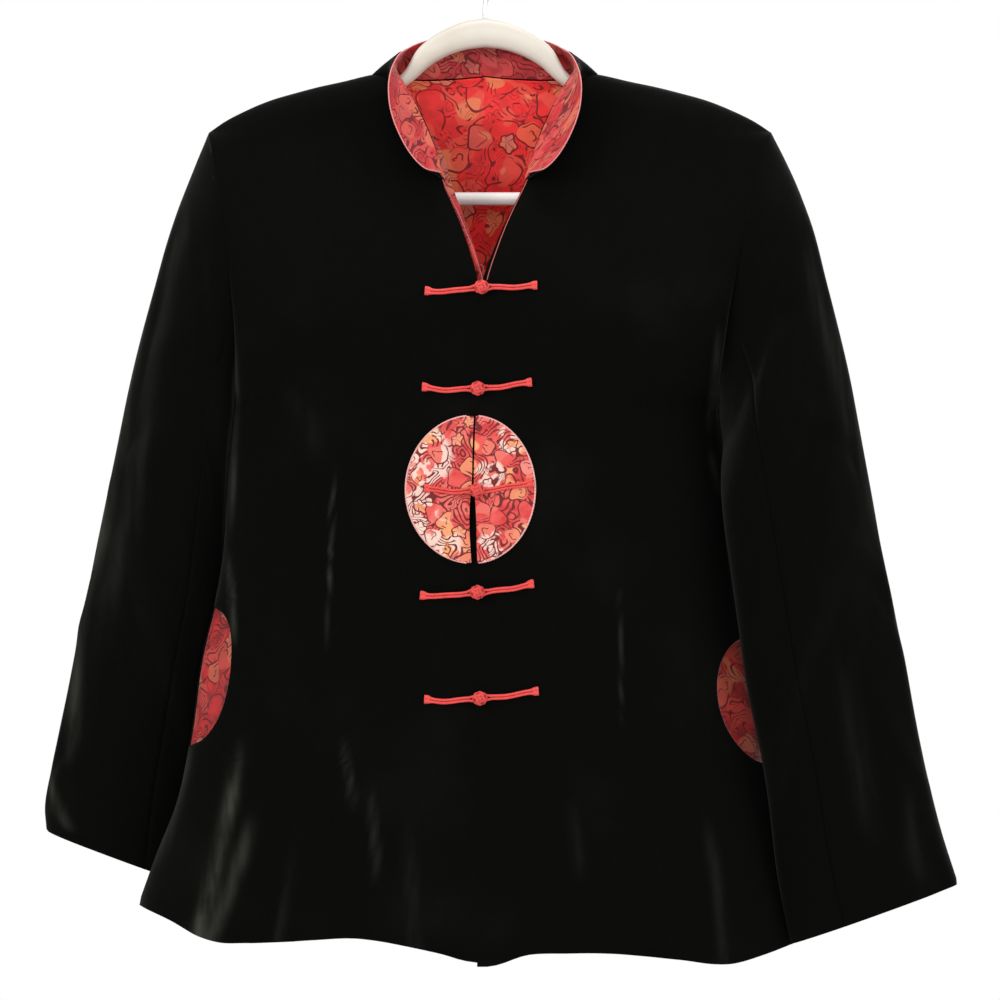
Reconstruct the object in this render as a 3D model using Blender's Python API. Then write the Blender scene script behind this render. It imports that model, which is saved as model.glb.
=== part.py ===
"""A reversible jacket of black velvet and red brocade, closed with frogs, on a suit hanger.

The origin is the inner top of the hanger's hook, where a rail holds it. The fronts face -Y, +Z is up,
and the wearer's right side is at -X. Sizes are in millimetres, and a "drop" is a distance below the origin.
"""

import math

import bpy
import numpy as np

for item in list(bpy.data.objects):
    bpy.data.objects.remove(item, do_unlink=True)

MM = 0.001
WALL = 2.4  # velvet and its lining, quilted as one wall
LINING = 1.2  # brocade by itself
COLLAR_VELVET = 1.5
SEAM = 0.3  # between neighbouring pieces
RIGHT, LEFT = -1, 1  # the wearer's sides, as signs of X
FRONT, BACK = -1, 1  # as signs of Y


def table(columns, *rows):
    """A short table, as one array for each named column."""
    return dict(zip(columns.split(), np.array(rows, float).T))


def along(at, places, values):
    """A smooth curve through a table's column, read at the given places."""
    places, values = np.asarray(places, float), np.asarray(values, float)
    at = np.clip(at, places[0], places[-1])
    slope = np.gradient(values, places)
    i = np.clip(np.searchsorted(places, at) - 1, 0, len(places) - 2)
    step = places[i + 1] - places[i]
    t = (at - places[i]) / step
    rise = t * t * (3 - 2 * t)
    bend = step * t * (1 - t) * ((1 - t) * slope[i] - t * slope[i + 1])
    return values[i] * (1 - rise) + values[i + 1] * rise + bend


# The garment's cut

# The shoulder seam, as a fraction of the way from the neck to the tip.
SHOULDER = table(
    "share drop",
    (0.0, 101.0), (0.13, 104.0), (0.27, 108.6), (0.40, 112.4), (0.53, 117.0),
    (0.67, 122.6), (0.80, 130.0), (0.92, 138.5), (1.0, 146.0),
)
# The side of the body, from the shoulder tip down the armhole and the side seam to the hem.
SIDE = table(
    "drop right left",
    (146.0, 203.4, 210.8), (196.0, 194.0, 196.0), (248.0, 187.0, 184.0), (297.0, 183.0, 176.0),
    (343.5, 184.0, 172.0), (388.0, 188.8, 178.3), (417.0, 190.5, 182.3), (464.0, 194.0, 188.0),
    (493.0, 199.3, 192.5), (528.0, 207.8, 198.5), (594.0, 217.4, 210.0), (639.0, 227.0, 220.0),
    (680.0, 243.0, 233.0), (733.0, 262.0, 247.0),
)
SHOULDER_TIP, ARMPIT = 146.0, 343.5
NECK_SIDE, NECK_SIDE_DROP = 68.0, 101.0
# The centre line, which drifts a little to the wearer's right as the jacket hangs.
CENTRE = table(
    "drop x",
    (101.0, 0.0), (185.0, -0.8), (261.0, -3.6), (330.0, -6.0), (372.0, -8.0), (440.0, -8.6),
    (478.0, -7.0), (600.0, -5.6), (758.0, -5.6),
)
# Half the neck opening: the neck seam, then the V down to the first frog.
NECK = table(
    "drop half",
    (101.0, 68.0), (113.0, 60.0), (127.0, 52.0), (141.5, 45.0), (155.0, 39.5), (169.0, 35.0), (183.0, 31.0),
    (196.0, 25.0), (211.0, 18.0), (236.0, 8.3), (256.0, 2.0), (262.0, 0.8),
)
COLLAR_END, V_END = 183.0, 262.0
FRONT_GAP = 0.25  # half the gap where the fronts meet
# The hem of the fronts, which waves as the skirt flares.
HEM = table(
    "x drop",
    (-254.3, 712.0), (-231.0, 720.0), (-206.0, 731.0), (-175.0, 736.0), (-126.0, 733.0), (-96.0, 730.5),
    (-60.0, 737.0), (-12.0, 748.0), (8.0, 750.0), (32.0, 743.0), (60.0, 740.5), (100.0, 742.0),
    (140.0, 745.5), (180.0, 749.0), (205.0, 745.0), (226.0, 739.0), (247.0, 732.7),
)
BACK_HEM = 736.0  # at the centre back
# How far the middle of the front and of the back stand out.
DEPTH = table(
    "drop front back",
    (101.0, 60.0, 46.0), (300.0, 68.0, 54.0), (420.0, 66.0, 52.0), (500.0, 62.0, 49.0),
    (600.0, 66.0, 53.0), (760.0, 76.0, 62.0),
)
# How square the body's section is: a high power is flat across and round only at its sides.
ROUNDING = table("drop power", (101.0, 10.0), (250.0, 5.0), (343.0, 3.2), (450.0, 2.8), (760.0, 2.6))
SHOULDER_ROLL = {FRONT: 22.0, BACK: 20.0}  # round over the hanger
FULL_BELOW = 190.0  # below the shoulder, the body reaches its full depth
ARMHOLE_DEPTH = {FRONT: 43.0, BACK: 38.0}
ARMHOLE_MID, ARMHOLE_HALF = (SHOULDER_TIP + ARMPIT) / 2, (ARMPIT - SHOULDER_TIP) / 2
# The largest folds: soft ridges, or troughs where the height is negative, each along a straight line.
FOLDS = table(
    "face x_top drop_top x_end drop_end spread height",
    (FRONT, -178.0, 560.0, -208.0, 740.0, 10.0, 5.0),
    (FRONT, -146.0, 590.0, -160.0, 740.0, 15.0, -4.5),
    (FRONT, -98.0, 520.0, -96.0, 740.0, 17.0, -4.0),
    (FRONT, -52.0, 600.0, -50.0, 745.0, 18.0, 3.0),
    (FRONT, 62.0, 560.0, 76.0, 745.0, 18.0, -4.0),
    (FRONT, 120.0, 590.0, 136.0, 745.0, 20.0, 4.5),
    (FRONT, 168.0, 300.0, 150.0, 420.0, 16.0, -3.5),
    (FRONT, -166.0, 300.0, -148.0, 400.0, 16.0, -3.0),
    (BACK, -150.0, 300.0, -120.0, 440.0, 18.0, -4.0),
    (BACK, 150.0, 300.0, 118.0, 430.0, 18.0, -4.0),
    (BACK, -110.0, 540.0, -132.0, 736.0, 20.0, 5.0),
    (BACK, -38.0, 520.0, -46.0, 736.0, 20.0, -4.5),
    (BACK, 46.0, 560.0, 52.0, 736.0, 20.0, 4.5),
    (BACK, 118.0, 540.0, 140.0, 736.0, 18.0, -4.0),
)


def side_x(drop, side):
    """How far the armhole or side seam lies from the origin's plane."""
    return along(drop, SIDE["drop"], SIDE["right" if side == RIGHT else "left"])


def centre_x(drop):
    return along(drop, CENTRE["drop"], CENTRE["x"])


def shoulder_drop(x):
    """The shoulder line above a point, level across the neck."""
    tip = np.where(x < 0, side_x(SHOULDER_TIP, RIGHT), side_x(SHOULDER_TIP, LEFT))
    share = (np.abs(x) - NECK_SIDE) / (tip - NECK_SIDE)
    outside = along(np.clip(share, 0, 1), SHOULDER["share"], SHOULDER["drop"])
    return outside - 0.12 * np.clip(NECK_SIDE - np.abs(x), 0, None)


def hem_drop(x, face):
    """The hem's edge. The back's is plain, and meets the front's at the side seams."""
    if face == FRONT:
        return along(x, HEM["x"], HEM["drop"])
    ends = np.interp(x, (HEM["x"][0], HEM["x"][-1]), (HEM["drop"][0], HEM["drop"][-1]))
    return ends + (BACK_HEM - ends) * (1 - (x / HEM["x"][-1]) ** 2).clip(0) ** 0.5


def folds(x, drop, face):
    """The height of the folds over a point, none of it at the side seams."""
    total = np.zeros(np.broadcast(x, drop).shape)
    for way, x0, top, x1, end, spread, height in zip(*FOLDS.values()):
        if way == face:
            share = (drop - top) / (end - top)
            across = (x - x0 - (x1 - x0) * share) / spread
            fade = np.clip(share * 1.6, 0, 1) if end > 700 else np.sin(np.pi * np.clip(share, 0, 1))
            total += height * fade * fade * (3 - 2 * fade) * np.exp(-across * across)
    return total


def body_y(x, drop, face):
    """The body's outer surface over a point of the front view."""
    x, drop = np.broadcast_arrays(np.asarray(x, float), np.asarray(drop, float))
    middle = centre_x(drop)
    width = np.where(x < middle, side_x(drop, RIGHT) + middle, side_x(drop, LEFT) - middle)
    t = np.clip(np.abs(x - middle) / width, 0, 1)
    swell = np.sqrt(np.clip(1 - t ** along(drop, ROUNDING["drop"], ROUNDING["power"]), 0, 1))
    below = np.clip(drop - shoulder_drop(x), 0, None)
    roll = SHOULDER_ROLL[face]
    over = roll * np.sqrt(1 - (1 - np.clip(below / roll, 0, 1)) ** 2)
    growth = np.clip(below / FULL_BELOW, 0, 1)
    full = along(drop, DEPTH["drop"], DEPTH["front" if face == FRONT else "back"])
    depth = over + (full - roll) * growth * growth * (3 - 2 * growth) + folds(x, drop, face) * (1 - t**6)
    ring = np.sqrt(np.clip(1 - ((drop - ARMHOLE_MID) / ARMHOLE_HALF) ** 2, 0, 1))
    edge = ARMHOLE_DEPTH[face] * ring
    return face * (edge + (depth - edge) * swell)


# Walls from grids of points

def outward(grid, middle, ring=False):
    """Unit normals of a grid of points, pointing away from the middle. A ring's columns meet."""
    rows = np.gradient(grid, axis=0)
    columns = (np.roll(grid, -1, axis=1) - np.roll(grid, 1, axis=1)) if ring else np.gradient(grid, axis=1)
    normal = np.cross(rows, columns)
    normal /= np.linalg.norm(normal, axis=2, keepdims=True) + 1e-9
    return normal * np.sign(np.sum(normal * (grid - middle)))


def material(name, colour, roughness, metallic=0.0):
    made = bpy.data.materials.new(name)
    made.use_nodes = True
    shader = made.node_tree.nodes["Principled BSDF"]
    shader.inputs["Base Color"].default_value = (*colour, 1)
    shader.inputs["Roughness"].default_value = roughness
    shader.inputs["Metallic"].default_value = metallic
    return made


VELVET = ((0.008, 0.009, 0.009), 0.95)
BROCADE = ((0.62, 0.05, 0.04), 0.45)
CORD = ((0.70, 0.08, 0.06), 0.5)
HANGER = ((0.86, 0.83, 0.76), 0.35)
STEEL = ((0.72, 0.72, 0.72), 0.25, 1.0)


def add_mesh(name, points, faces, finish):
    """A named object of one closed mesh, its faces turned to point out."""
    points = np.asarray(points, float) * MM
    fans = [(f[0], f[i], f[i + 1]) for f in faces for i in range(1, len(f) - 1)]
    volume = sum(np.dot(points[a], np.cross(points[b], points[c])) for a, b, c in fans)
    if volume < 0:
        faces = [tuple(reversed(f)) for f in faces]
    mesh = bpy.data.meshes.new(name)
    mesh.from_pydata([tuple(p) for p in points], [], faces)
    mesh.shade_smooth()
    mesh.set_sharp_from_angle(angle=math.radians(40))
    mesh.materials.append(material(name, *finish))
    made = bpy.data.objects.new(name, mesh)
    bpy.context.scene.collection.objects.link(made)
    return made


def wall(name, outer, inner, finish):
    """A wall between two grids of points, closed round its rim."""
    rows, columns = outer.shape[:2]

    def at(i, j, inside):
        return i * columns + j + inside * rows * columns

    faces = []
    for i in range(rows - 1):
        for j in range(columns - 1):
            faces.append((at(i, j, 0), at(i, j + 1, 0), at(i + 1, j + 1, 0), at(i + 1, j, 0)))
            faces.append((at(i, j, 1), at(i + 1, j, 1), at(i + 1, j + 1, 1), at(i, j + 1, 1)))
    for i, turn in ((0, 1), (rows - 1, -1)):
        for j in range(columns - 1):
            faces.append((at(i, j, 1), at(i, j + 1, 1), at(i, j + 1, 0), at(i, j, 0))[::turn])
    for j, turn in ((0, -1), (columns - 1, 1)):
        for i in range(rows - 1):
            faces.append((at(i, j, 1), at(i + 1, j, 1), at(i + 1, j, 0), at(i, j, 0))[::turn])
    points = np.concatenate([outer.reshape(-1, 3), inner.reshape(-1, 3)])
    return add_mesh(name, points, faces, finish)


def xyz(x, y, drop):
    return np.stack(np.broadcast_arrays(np.asarray(x, float), y, -np.asarray(drop, float)), axis=-1)


# The pieces of the body

ARMHOLE_ROWS, SIDE_ROWS = 11, 16
POCKETS = {
    RIGHT: dict(top=497.0, end=597.0, width=24.0),
    LEFT: dict(top=517.0, end=612.0, width=34.0),
}
POCKET_MARGIN = 4.0


def pocket_scoop(drop, side):
    """How far a front's side edge is cut back for the half-moon pocket."""
    pocket = POCKETS[side]
    middle, half = (pocket["top"] + pocket["end"]) / 2, (pocket["end"] - pocket["top"]) / 2
    return pocket["width"] * np.sqrt(np.clip(1 - ((drop - middle) / half) ** 2, 0, 1))


def side_drops(side):
    """Rows down the armhole, evenly round its ring, and down the side seam, close at the pocket."""
    ring = ARMHOLE_MID - ARMHOLE_HALF * np.cos(np.linspace(0, np.pi, ARMHOLE_ROWS))
    top, end = POCKETS[side]["top"] - POCKET_MARGIN, POCKETS[side]["end"] + POCKET_MARGIN
    corner = HEM["drop"][0 if side == RIGHT else -1]
    seam = np.concatenate([
        np.linspace(ARMPIT, top, 5)[1:], np.linspace(top, end, 10)[1:], np.linspace(end, corner, 5)[1:],
    ])
    return np.concatenate([ring, seam])


def across(inner_x, inner_drop, outer_x, outer_drop, top, bottom, columns):
    """A grid between a panel's inner and outer edges, bent to the given top and bottom lines."""
    share = np.sin(np.linspace(0, np.pi / 2, columns)) ** 0.9
    rows = len(inner_x)
    x = inner_x[:, None] + (outer_x - inner_x)[:, None] * share
    drop = inner_drop[:, None] + (outer_drop - inner_drop)[:, None] * share
    down = np.linspace(0, 1, rows)[:, None]
    return x, drop + (1 - down) ** 3 * (top(x[:1]) - drop[:1]) + down**3 * (bottom(x[-1:]) - drop[-1:])


BODY_MIDDLE = np.array([0, 0, -440.0])


def body_wall(outer, face):
    """The inner points of a body panel, kept on its own side of the shoulder and side seams."""
    inner = outer - WALL * outward(outer, BODY_MIDDLE)
    flat = face * SEAM / 2
    outer[..., 1] = face * np.maximum(face * outer[..., 1], face * flat)
    inner[..., 1] = face * np.maximum(face * inner[..., 1], face * flat)
    return inner


def neck_rows():
    """The drops of a front's inner edge: the neck seam, the V, then the centre front to the hem."""
    over_shoulder = 1 - np.cos(np.linspace(0, np.pi / 2, 8))
    neck = NECK_SIDE_DROP + (COLLAR_END - NECK_SIDE_DROP) * over_shoulder
    neck = np.concatenate([neck, np.linspace(COLLAR_END, V_END, 4)[1:]])
    hem = float(hem_drop(np.array(centre_x(758.0)), FRONT))
    rest = ARMHOLE_ROWS + SIDE_ROWS + 1 - len(neck)
    return np.concatenate([neck, np.linspace(V_END, hem, rest + 1)[1:]])


def front_panel(side):
    columns = 13
    inner_drop = neck_rows()
    half = np.where(inner_drop < V_END, along(inner_drop, NECK["drop"], NECK["half"]), FRONT_GAP)
    inner_x = centre_x(inner_drop) * (inner_drop > COLLAR_END) + side * half
    outer_drop = side_drops(side)
    scoop = pocket_scoop(outer_drop, side)
    reach = side_x(outer_drop, side) - scoop
    reach[:ARMHOLE_ROWS] -= SEAM / 2
    x, drop = across(
        inner_x, inner_drop, side * reach, outer_drop,
        shoulder_drop, lambda v: hem_drop(v, FRONT), columns,
    )
    outer = xyz(x, body_y(x, drop, FRONT), drop)
    outer[0, :, 1] = -SEAM / 2
    inner = body_wall(outer, FRONT)
    inner[0] = outer[0] - [0, 0, WALL]
    seam_to_sleeve(inner, -1, side)
    plain = (outer_drop >= ARMPIT) & (scoop == 0)
    inner[plain, -1] = outer[plain, -1] - [side * WALL, 0, 0]
    inner[:, 0, 0] = outer[:, 0, 0]
    wall("front_right" if side == RIGHT else "front_left", outer, inner, VELVET)


def seam_to_sleeve(inner, column, side):
    """Brings a panel's inner edge at the armhole onto the armhole's own surface."""
    ring = slice(0, ARMHOLE_ROWS - 1)
    inner[ring, column, 0] = side * (side_x(-inner[ring, column, 2], side) - SEAM / 2)


def back_panel():
    half_columns = 12
    sides = {RIGHT: None, LEFT: None}
    for side in sides:
        outer_drop = side_drops(side)
        top = float(back_top(np.array(0.0)))
        ring = top + (ARMPIT - top) * (outer_drop[:ARMHOLE_ROWS] - SHOULDER_TIP) / (ARMPIT - SHOULDER_TIP)
        below = np.linspace(ARMPIT, BACK_HEM, len(outer_drop) - ARMHOLE_ROWS + 1)[1:]
        middle_drop = np.concatenate([ring, below])
        reach = side_x(outer_drop, side)
        reach[:ARMHOLE_ROWS] -= SEAM / 2
        sides[side] = across(
            centre_x(middle_drop), middle_drop, side * reach, outer_drop,
            back_top, lambda v: hem_drop(v, BACK), half_columns,
        )
    x = np.concatenate([sides[RIGHT][0][:, :0:-1], sides[LEFT][0]], axis=1)
    drop = np.concatenate([sides[RIGHT][1][:, :0:-1], sides[LEFT][1]], axis=1)
    outer = xyz(x, body_y(x, drop, BACK), drop)
    on_shoulder = np.abs(x[0]) >= NECK_SIDE - 4
    outer[0, on_shoulder, 1] = SEAM / 2
    inner = body_wall(outer, BACK)
    inner[0, on_shoulder] = outer[0, on_shoulder] - [0, 0, WALL]
    seam_to_sleeve(inner, 0, RIGHT)
    seam_to_sleeve(inner, -1, LEFT)
    low = -outer[:, 0, 2] >= ARMPIT
    inner[low, 0] = outer[low, 0] + [WALL, 0, 0]
    inner[low, -1] = outer[low, -1] - [WALL, 0, 0]
    wall("back", outer, inner, VELVET)


def back_top(x):
    """The shoulder seams, with the shallow curve of the back neck between them."""
    dip = 3.0 + 0.12 * NECK_SIDE
    return shoulder_drop(x) + dip * np.sqrt(np.clip(1 - (x / NECK_SIDE) ** 2, 0, 1))


front_panel(RIGHT)
front_panel(LEFT)
back_panel()


# The sleeves

# Each row is one section: its outer and inner ends in the front view, and its reach in front and behind.
SLEEVES = {
    RIGHT: table(
        "out_x out_drop in_x in_drop middle_y front back",
        (203.4, 146.0, 184.0, 343.5, 0.0, 43.0, 38.0), (217.4, 181.4, 187.5, 362.0, 3.0, 43.0, 41.0),
        (226.3, 203.5, 189.0, 385.0, 7.0, 43.0, 42.0), (238.8, 240.4, 188.5, 412.0, 12.0, 43.0, 42.0),
        (255.0, 299.3, 187.5, 440.0, 17.0, 42.0, 42.0), (269.0, 362.0, 187.5, 472.0, 22.0, 40.0, 40.0),
        (284.0, 432.0, 190.0, 512.0, 27.0, 37.0, 37.0), (297.0, 493.0, 197.0, 552.0, 31.0, 33.0, 33.0),
        (310.5, 564.6, 204.0, 598.0, 34.0, 29.0, 29.0), (321.5, 612.0, 210.0, 640.0, 36.0, 26.0, 26.0),
        (327.0, 640.0, 214.0, 672.0, 37.0, 24.0, 24.0), (323.5, 660.0, 217.0, 692.0, 37.0, 23.0, 23.0),
    ),
    LEFT: table(
        "out_x out_drop in_x in_drop middle_y front back",
        (210.8, 146.0, 172.0, 343.5, 0.0, 43.0, 38.0), (227.0, 181.4, 174.3, 362.0, -6.0, 42.0, 38.0),
        (238.0, 211.0, 174.5, 378.0, -14.0, 40.0, 38.0), (246.2, 240.4, 173.0, 395.0, -23.0, 39.0, 38.0),
        (258.0, 289.0, 173.0, 414.0, -29.0, 38.0, 38.0), (269.7, 343.5, 175.0, 436.0, -31.0, 38.0, 38.0),
        (280.8, 402.5, 179.0, 465.0, -33.0, 37.0, 37.0), (291.9, 461.5, 184.5, 504.0, -35.0, 34.0, 34.0),
        (303.6, 520.4, 191.0, 552.0, -36.0, 31.0, 31.0), (318.0, 594.0, 205.0, 622.0, -37.0, 28.0, 28.0),
        (331.0, 648.0, 213.0, 682.0, -38.0, 25.0, 25.0), (346.4, 697.3, 222.6, 733.0, -38.0, 23.0, 23.0),
    ),
}
LIES = {RIGHT: BACK, LEFT: FRONT}  # one sleeve hangs behind the body's side, the other in front of it
SLEEVE_CLEAR = 4.0
SLEEVE_RINGS = 23
SEAM_ANGLE = math.radians(112)  # from the outer edge round to each of the two seams
SEAM_TURN = 0.006  # half the seam's gap, as an angle


def sleeve_grid(side, angles):
    """The sleeve's outer surface: rings from the armhole to the cuff. Angle 0 is its outer edge."""
    rows = SLEEVES[side]
    order = np.arange(len(rows["out_x"]))
    at = np.linspace(0, order[-1], SLEEVE_RINGS)[:, None]
    out_x, out_drop, in_x, in_drop, middle_y, front, back = (along(at, order, v) for v in rows.values())
    turn = (1 + np.cos(angles)) / 2
    drop = in_drop + (out_drop - in_drop) * turn
    x = in_x + (out_x - in_x) * turn
    # The first ring lies in the armhole's own curve, and the next ones leave it gradually.
    armhole = ARMHOLE_MID - ARMHOLE_HALF * np.cos(angles)
    bow = side_x(armhole, side) + SEAM / 2 - (in_x[0] + (out_x[0] - in_x[0]) * turn)
    x = side * (x + bow * np.clip(1 - at / 3, 0, 1) ** 2)
    sine = np.sin(angles)
    y = middle_y - np.where(sine > 0, front, back) * sine
    way = LIES[side]
    over = (np.abs(x) < side_x(drop, side) + 1) & (at > 0.2)
    near = body_y(x, drop, way) + way * SLEEVE_CLEAR
    y = np.where(over, way * np.maximum(way * y, way * near), y)
    return xyz(x, y, drop)


def sleeve(side, name):
    """An upper and an under sleeve, sewn to each other along two seams and to the body at the armhole."""
    upper = np.linspace(-SEAM_ANGLE + SEAM_TURN, SEAM_ANGLE - SEAM_TURN, 15)
    under = np.linspace(SEAM_ANGLE + SEAM_TURN, 2 * math.pi - SEAM_ANGLE - SEAM_TURN, 10)
    angles = np.concatenate([upper, under])
    outer = sleeve_grid(side, angles)
    middle = outer.mean(axis=1, keepdims=True)
    out = outward(outer, middle, ring=True)
    split = len(upper)
    for one, other in ((split - 1, split), (-1, 0)):
        shared = out[:, one] + out[:, other]
        out[:, one] = out[:, other] = shared / np.linalg.norm(shared, axis=1, keepdims=True)
    inner = outer - WALL * out
    round_armhole = np.stack([
        0 * angles, -np.sin(angles) / ARMHOLE_DEPTH[FRONT], np.cos(angles) / ARMHOLE_HALF,
    ], axis=-1)
    round_armhole /= np.linalg.norm(round_armhole, axis=1, keepdims=True)
    inner[0] = outer[0] - WALL * round_armhole
    inner[0, :, 0] = side * (side_x(-inner[0, :, 2], side) + SEAM / 2)
    wall(f"{name}_upper", outer[:, :split], inner[:, :split], VELVET)
    wall(f"{name}_under", outer[:, split:], inner[:, split:], VELVET)


sleeve(RIGHT, "sleeve_right")
sleeve(LEFT, "sleeve_left")


# The mandarin collar

# From a front end round to the centre back: the neck seam, the free edge, and how far the edge leans forward.
COLLAR = table(
    "seam_half seam_drop edge_half edge_drop lean",
    (31.0, 183.0, 33.0, 180.0, 9.0), (35.0, 169.0, 45.0, 176.0, 19.0), (39.5, 155.0, 56.0, 164.0, 23.0),
    (45.0, 141.5, 65.0, 147.0, 24.0), (52.0, 127.0, 70.3, 130.0, 23.0), (60.0, 113.0, 71.5, 112.0, 20.0),
    (66.0, 104.0, 68.5, 97.0, 15.0), (68.0, 101.0, 62.0, 86.5, 9.5), (54.0, 0.0, 48.5, 79.5, 6.5),
    (29.0, 0.0, 27.0, 75.0, 5.0), (0.0, 0.0, 0.0, 74.0, 4.0),
)
COLLAR_BACK_ROWS = 3
COLLAR_OFF_PANEL = 1.1
COLLAR_MIDDLE = np.array([0.0, -20.0, -130.0])


def collar_grid(stations, heights):
    """The collar's velvet face: stations from one front end round to the other, heights from the seam."""
    order = np.arange(len(COLLAR["lean"]), dtype=float)
    reach = np.linspace(-order[-1], order[-1], stations)
    side = np.where(reach < 0, RIGHT, LEFT)
    at = order[-1] - np.abs(reach)
    seam_half, seam_drop, edge_half, edge_drop, lean = (along(at, order, v) for v in COLLAR.values())
    seam_x, edge_x = side * seam_half, side * edge_half
    behind = at > order[-1] - COLLAR_BACK_ROWS
    seam_drop = np.where(behind, back_top(seam_x), np.interp(at, order[:8], COLLAR["seam_drop"][:8]))
    seam_y = np.where(behind, body_y(seam_x, seam_drop, BACK), body_y(seam_x, seam_drop, FRONT))
    seam = xyz(seam_x, seam_y, seam_drop)
    edge = xyz(edge_x, seam_y - lean, edge_drop)
    up = edge - seam
    up /= np.linalg.norm(up, axis=1, keepdims=True)
    seam = seam + COLLAR_OFF_PANEL * up
    return seam[None] + (edge - seam)[None] * np.asarray(heights)[:, None, None]


def collar():
    face = collar_grid(37, np.linspace(0, 1, 5))
    inward = -outward(face, COLLAR_MIDDLE)
    wall("collar_velvet", face, face + COLLAR_VELVET * inward, VELVET)
    face = collar_grid(37, np.linspace(0.05, 1, 5))
    inward = -outward(face, COLLAR_MIDDLE)
    start = COLLAR_VELVET + SEAM
    wall("collar_lining", face + start * inward, face + (start + LINING) * inward, BROCADE)


collar()


# Pieces that lie on, or behind, a panel

def patch(name, x, drop, face, depth, thickness, finish):
    """A thin piece that follows a body panel, its face at a depth below the panel's (negative is above)."""
    surface = xyz(x, body_y(x, drop, face), drop)
    out = outward(surface, BODY_MIDDLE)
    outer, inner = surface - depth * out, surface - (depth + thickness) * out
    for layer in (outer, inner):
        layer[..., 1] = face * np.maximum(face * layer[..., 1], SEAM / 2)
    return wall(name, outer, inner, finish)


LINING_HALF, LINING_END = 76.0, 330.0
LINING_TOP = 12.0  # below the back neck
LINING_BEHIND, POCKET_BEHIND = WALL + 1.2, WALL + 3.9  # from the face of the panel that hides its edges
POCKET_UNDERLAP = 8.0


def back_lining():
    x = np.linspace(-LINING_HALF, LINING_HALF, 11)[None, :]
    top = back_top(x) + LINING_TOP
    drop = top + (LINING_END - top) * np.linspace(0, 1, 10)[:, None] ** 1.4
    patch("back_lining", x + 0 * drop, drop, BACK, LINING_BEHIND, LINING, BROCADE)


def pocket(side, name):
    size = POCKETS[side]
    drop = np.linspace(size["top"] + 2, size["end"] - 2, 12)[:, None]
    seam = side_x(drop, side) - 0.6
    inside = seam - pocket_scoop(drop, side) - POCKET_UNDERLAP
    share = np.linspace(0, 1, 7) ** 0.7
    x = side * (inside + (seam - inside) * share)
    patch(name, x, drop + 0 * share, FRONT, POCKET_BEHIND, LINING, BROCADE)


back_lining()
pocket(RIGHT, "pocket_right")
pocket(LEFT, "pocket_left")


MEDALLION_DROP, MEDALLION_HALF_HEIGHT = 409.3, 53.5
MEDALLION_EDGE = {RIGHT: -57.5, LEFT: 36.5}
ABOVE = 0.4
MEDALLION_CLOTH = 1.0
# Half of the slit between its halves, which opens below the third frog.
MEDALLION_SLIT = table("drop half", (350.0, 0.8), (404.0, 0.8), (418.0, 1.9), (470.0, 1.9))


def medallion(side, name):
    """Half of the round patch, from the fronts' edge to its outline."""
    down = np.sin(np.linspace(-math.pi / 2, math.pi / 2, 15) * 0.94)[:, None]
    drop = MEDALLION_DROP + MEDALLION_HALF_HEIGHT * down
    edge = centre_x(drop) + side * along(drop, MEDALLION_SLIT["drop"], MEDALLION_SLIT["half"])
    half = np.abs(MEDALLION_EDGE[side] - centre_x(MEDALLION_DROP))
    outline = centre_x(MEDALLION_DROP) + side * half * np.sqrt(1 - down**2)
    share = np.linspace(0, 1, 6)
    x = edge + (outline - edge) * share
    patch(name, x, drop + 0 * share, FRONT, -ABOVE - MEDALLION_CLOTH, MEDALLION_CLOTH, BROCADE)


medallion(RIGHT, "medallion_right")
medallion(LEFT, "medallion_left")


# The frogs

# Where each ball knot sits, and the drops of its two cord legs' ends.
FROGS = table(
    "x drop right_end left_end right_x left_x",
    (-3.0, 261.0, 263.5, 259.5, -43.5, 38.0),
    (-5.2, 336.0, 335.0, 331.0, -45.5, 34.0),
    (-5.6, 410.0, 408.0, 404.0, -44.0, 34.5),
    (-5.4, 484.0, 486.0, 478.0, -47.0, 35.5),
    (-3.6, 561.0, 562.0, 555.5, -44.0, 39.0),
)
KNOT = (5.4, 4.2, 5.2)  # half sizes of a ball knot
CORD_HALF_HEIGHT, CORD_HALF_DEPTH = 2.2, 1.3  # of the two cords of a leg, side by side
LEG_END = 1.45  # how much wider a leg is at its square end


def tube(name, path, across_one, across_two, finish, sides=8):
    """A bar along a path, its section an ellipse with the two given half widths (vectors) at each point."""
    angles = np.arange(sides) * 2 * math.pi / sides
    ring = (
        path[:, None] + np.cos(angles)[None, :, None] * across_one[:, None]
        + np.sin(angles)[None, :, None] * across_two[:, None]
    )
    rows = len(path)
    faces = []
    for i in range(rows - 1):
        for j in range(sides):
            k = (j + 1) % sides
            faces.append((i * sides + j, i * sides + k, (i + 1) * sides + k, (i + 1) * sides + j))
    faces.append(tuple(range(sides))[::-1])
    faces.append(tuple((rows - 1) * sides + j for j in range(sides)))
    return add_mesh(name, ring.reshape(-1, 3), faces, finish)


def on_front(x, drop, lift):
    """A point on the fronts' face, moved out by the lift."""
    return xyz(x, body_y(x, drop, FRONT) - lift, drop)


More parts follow.
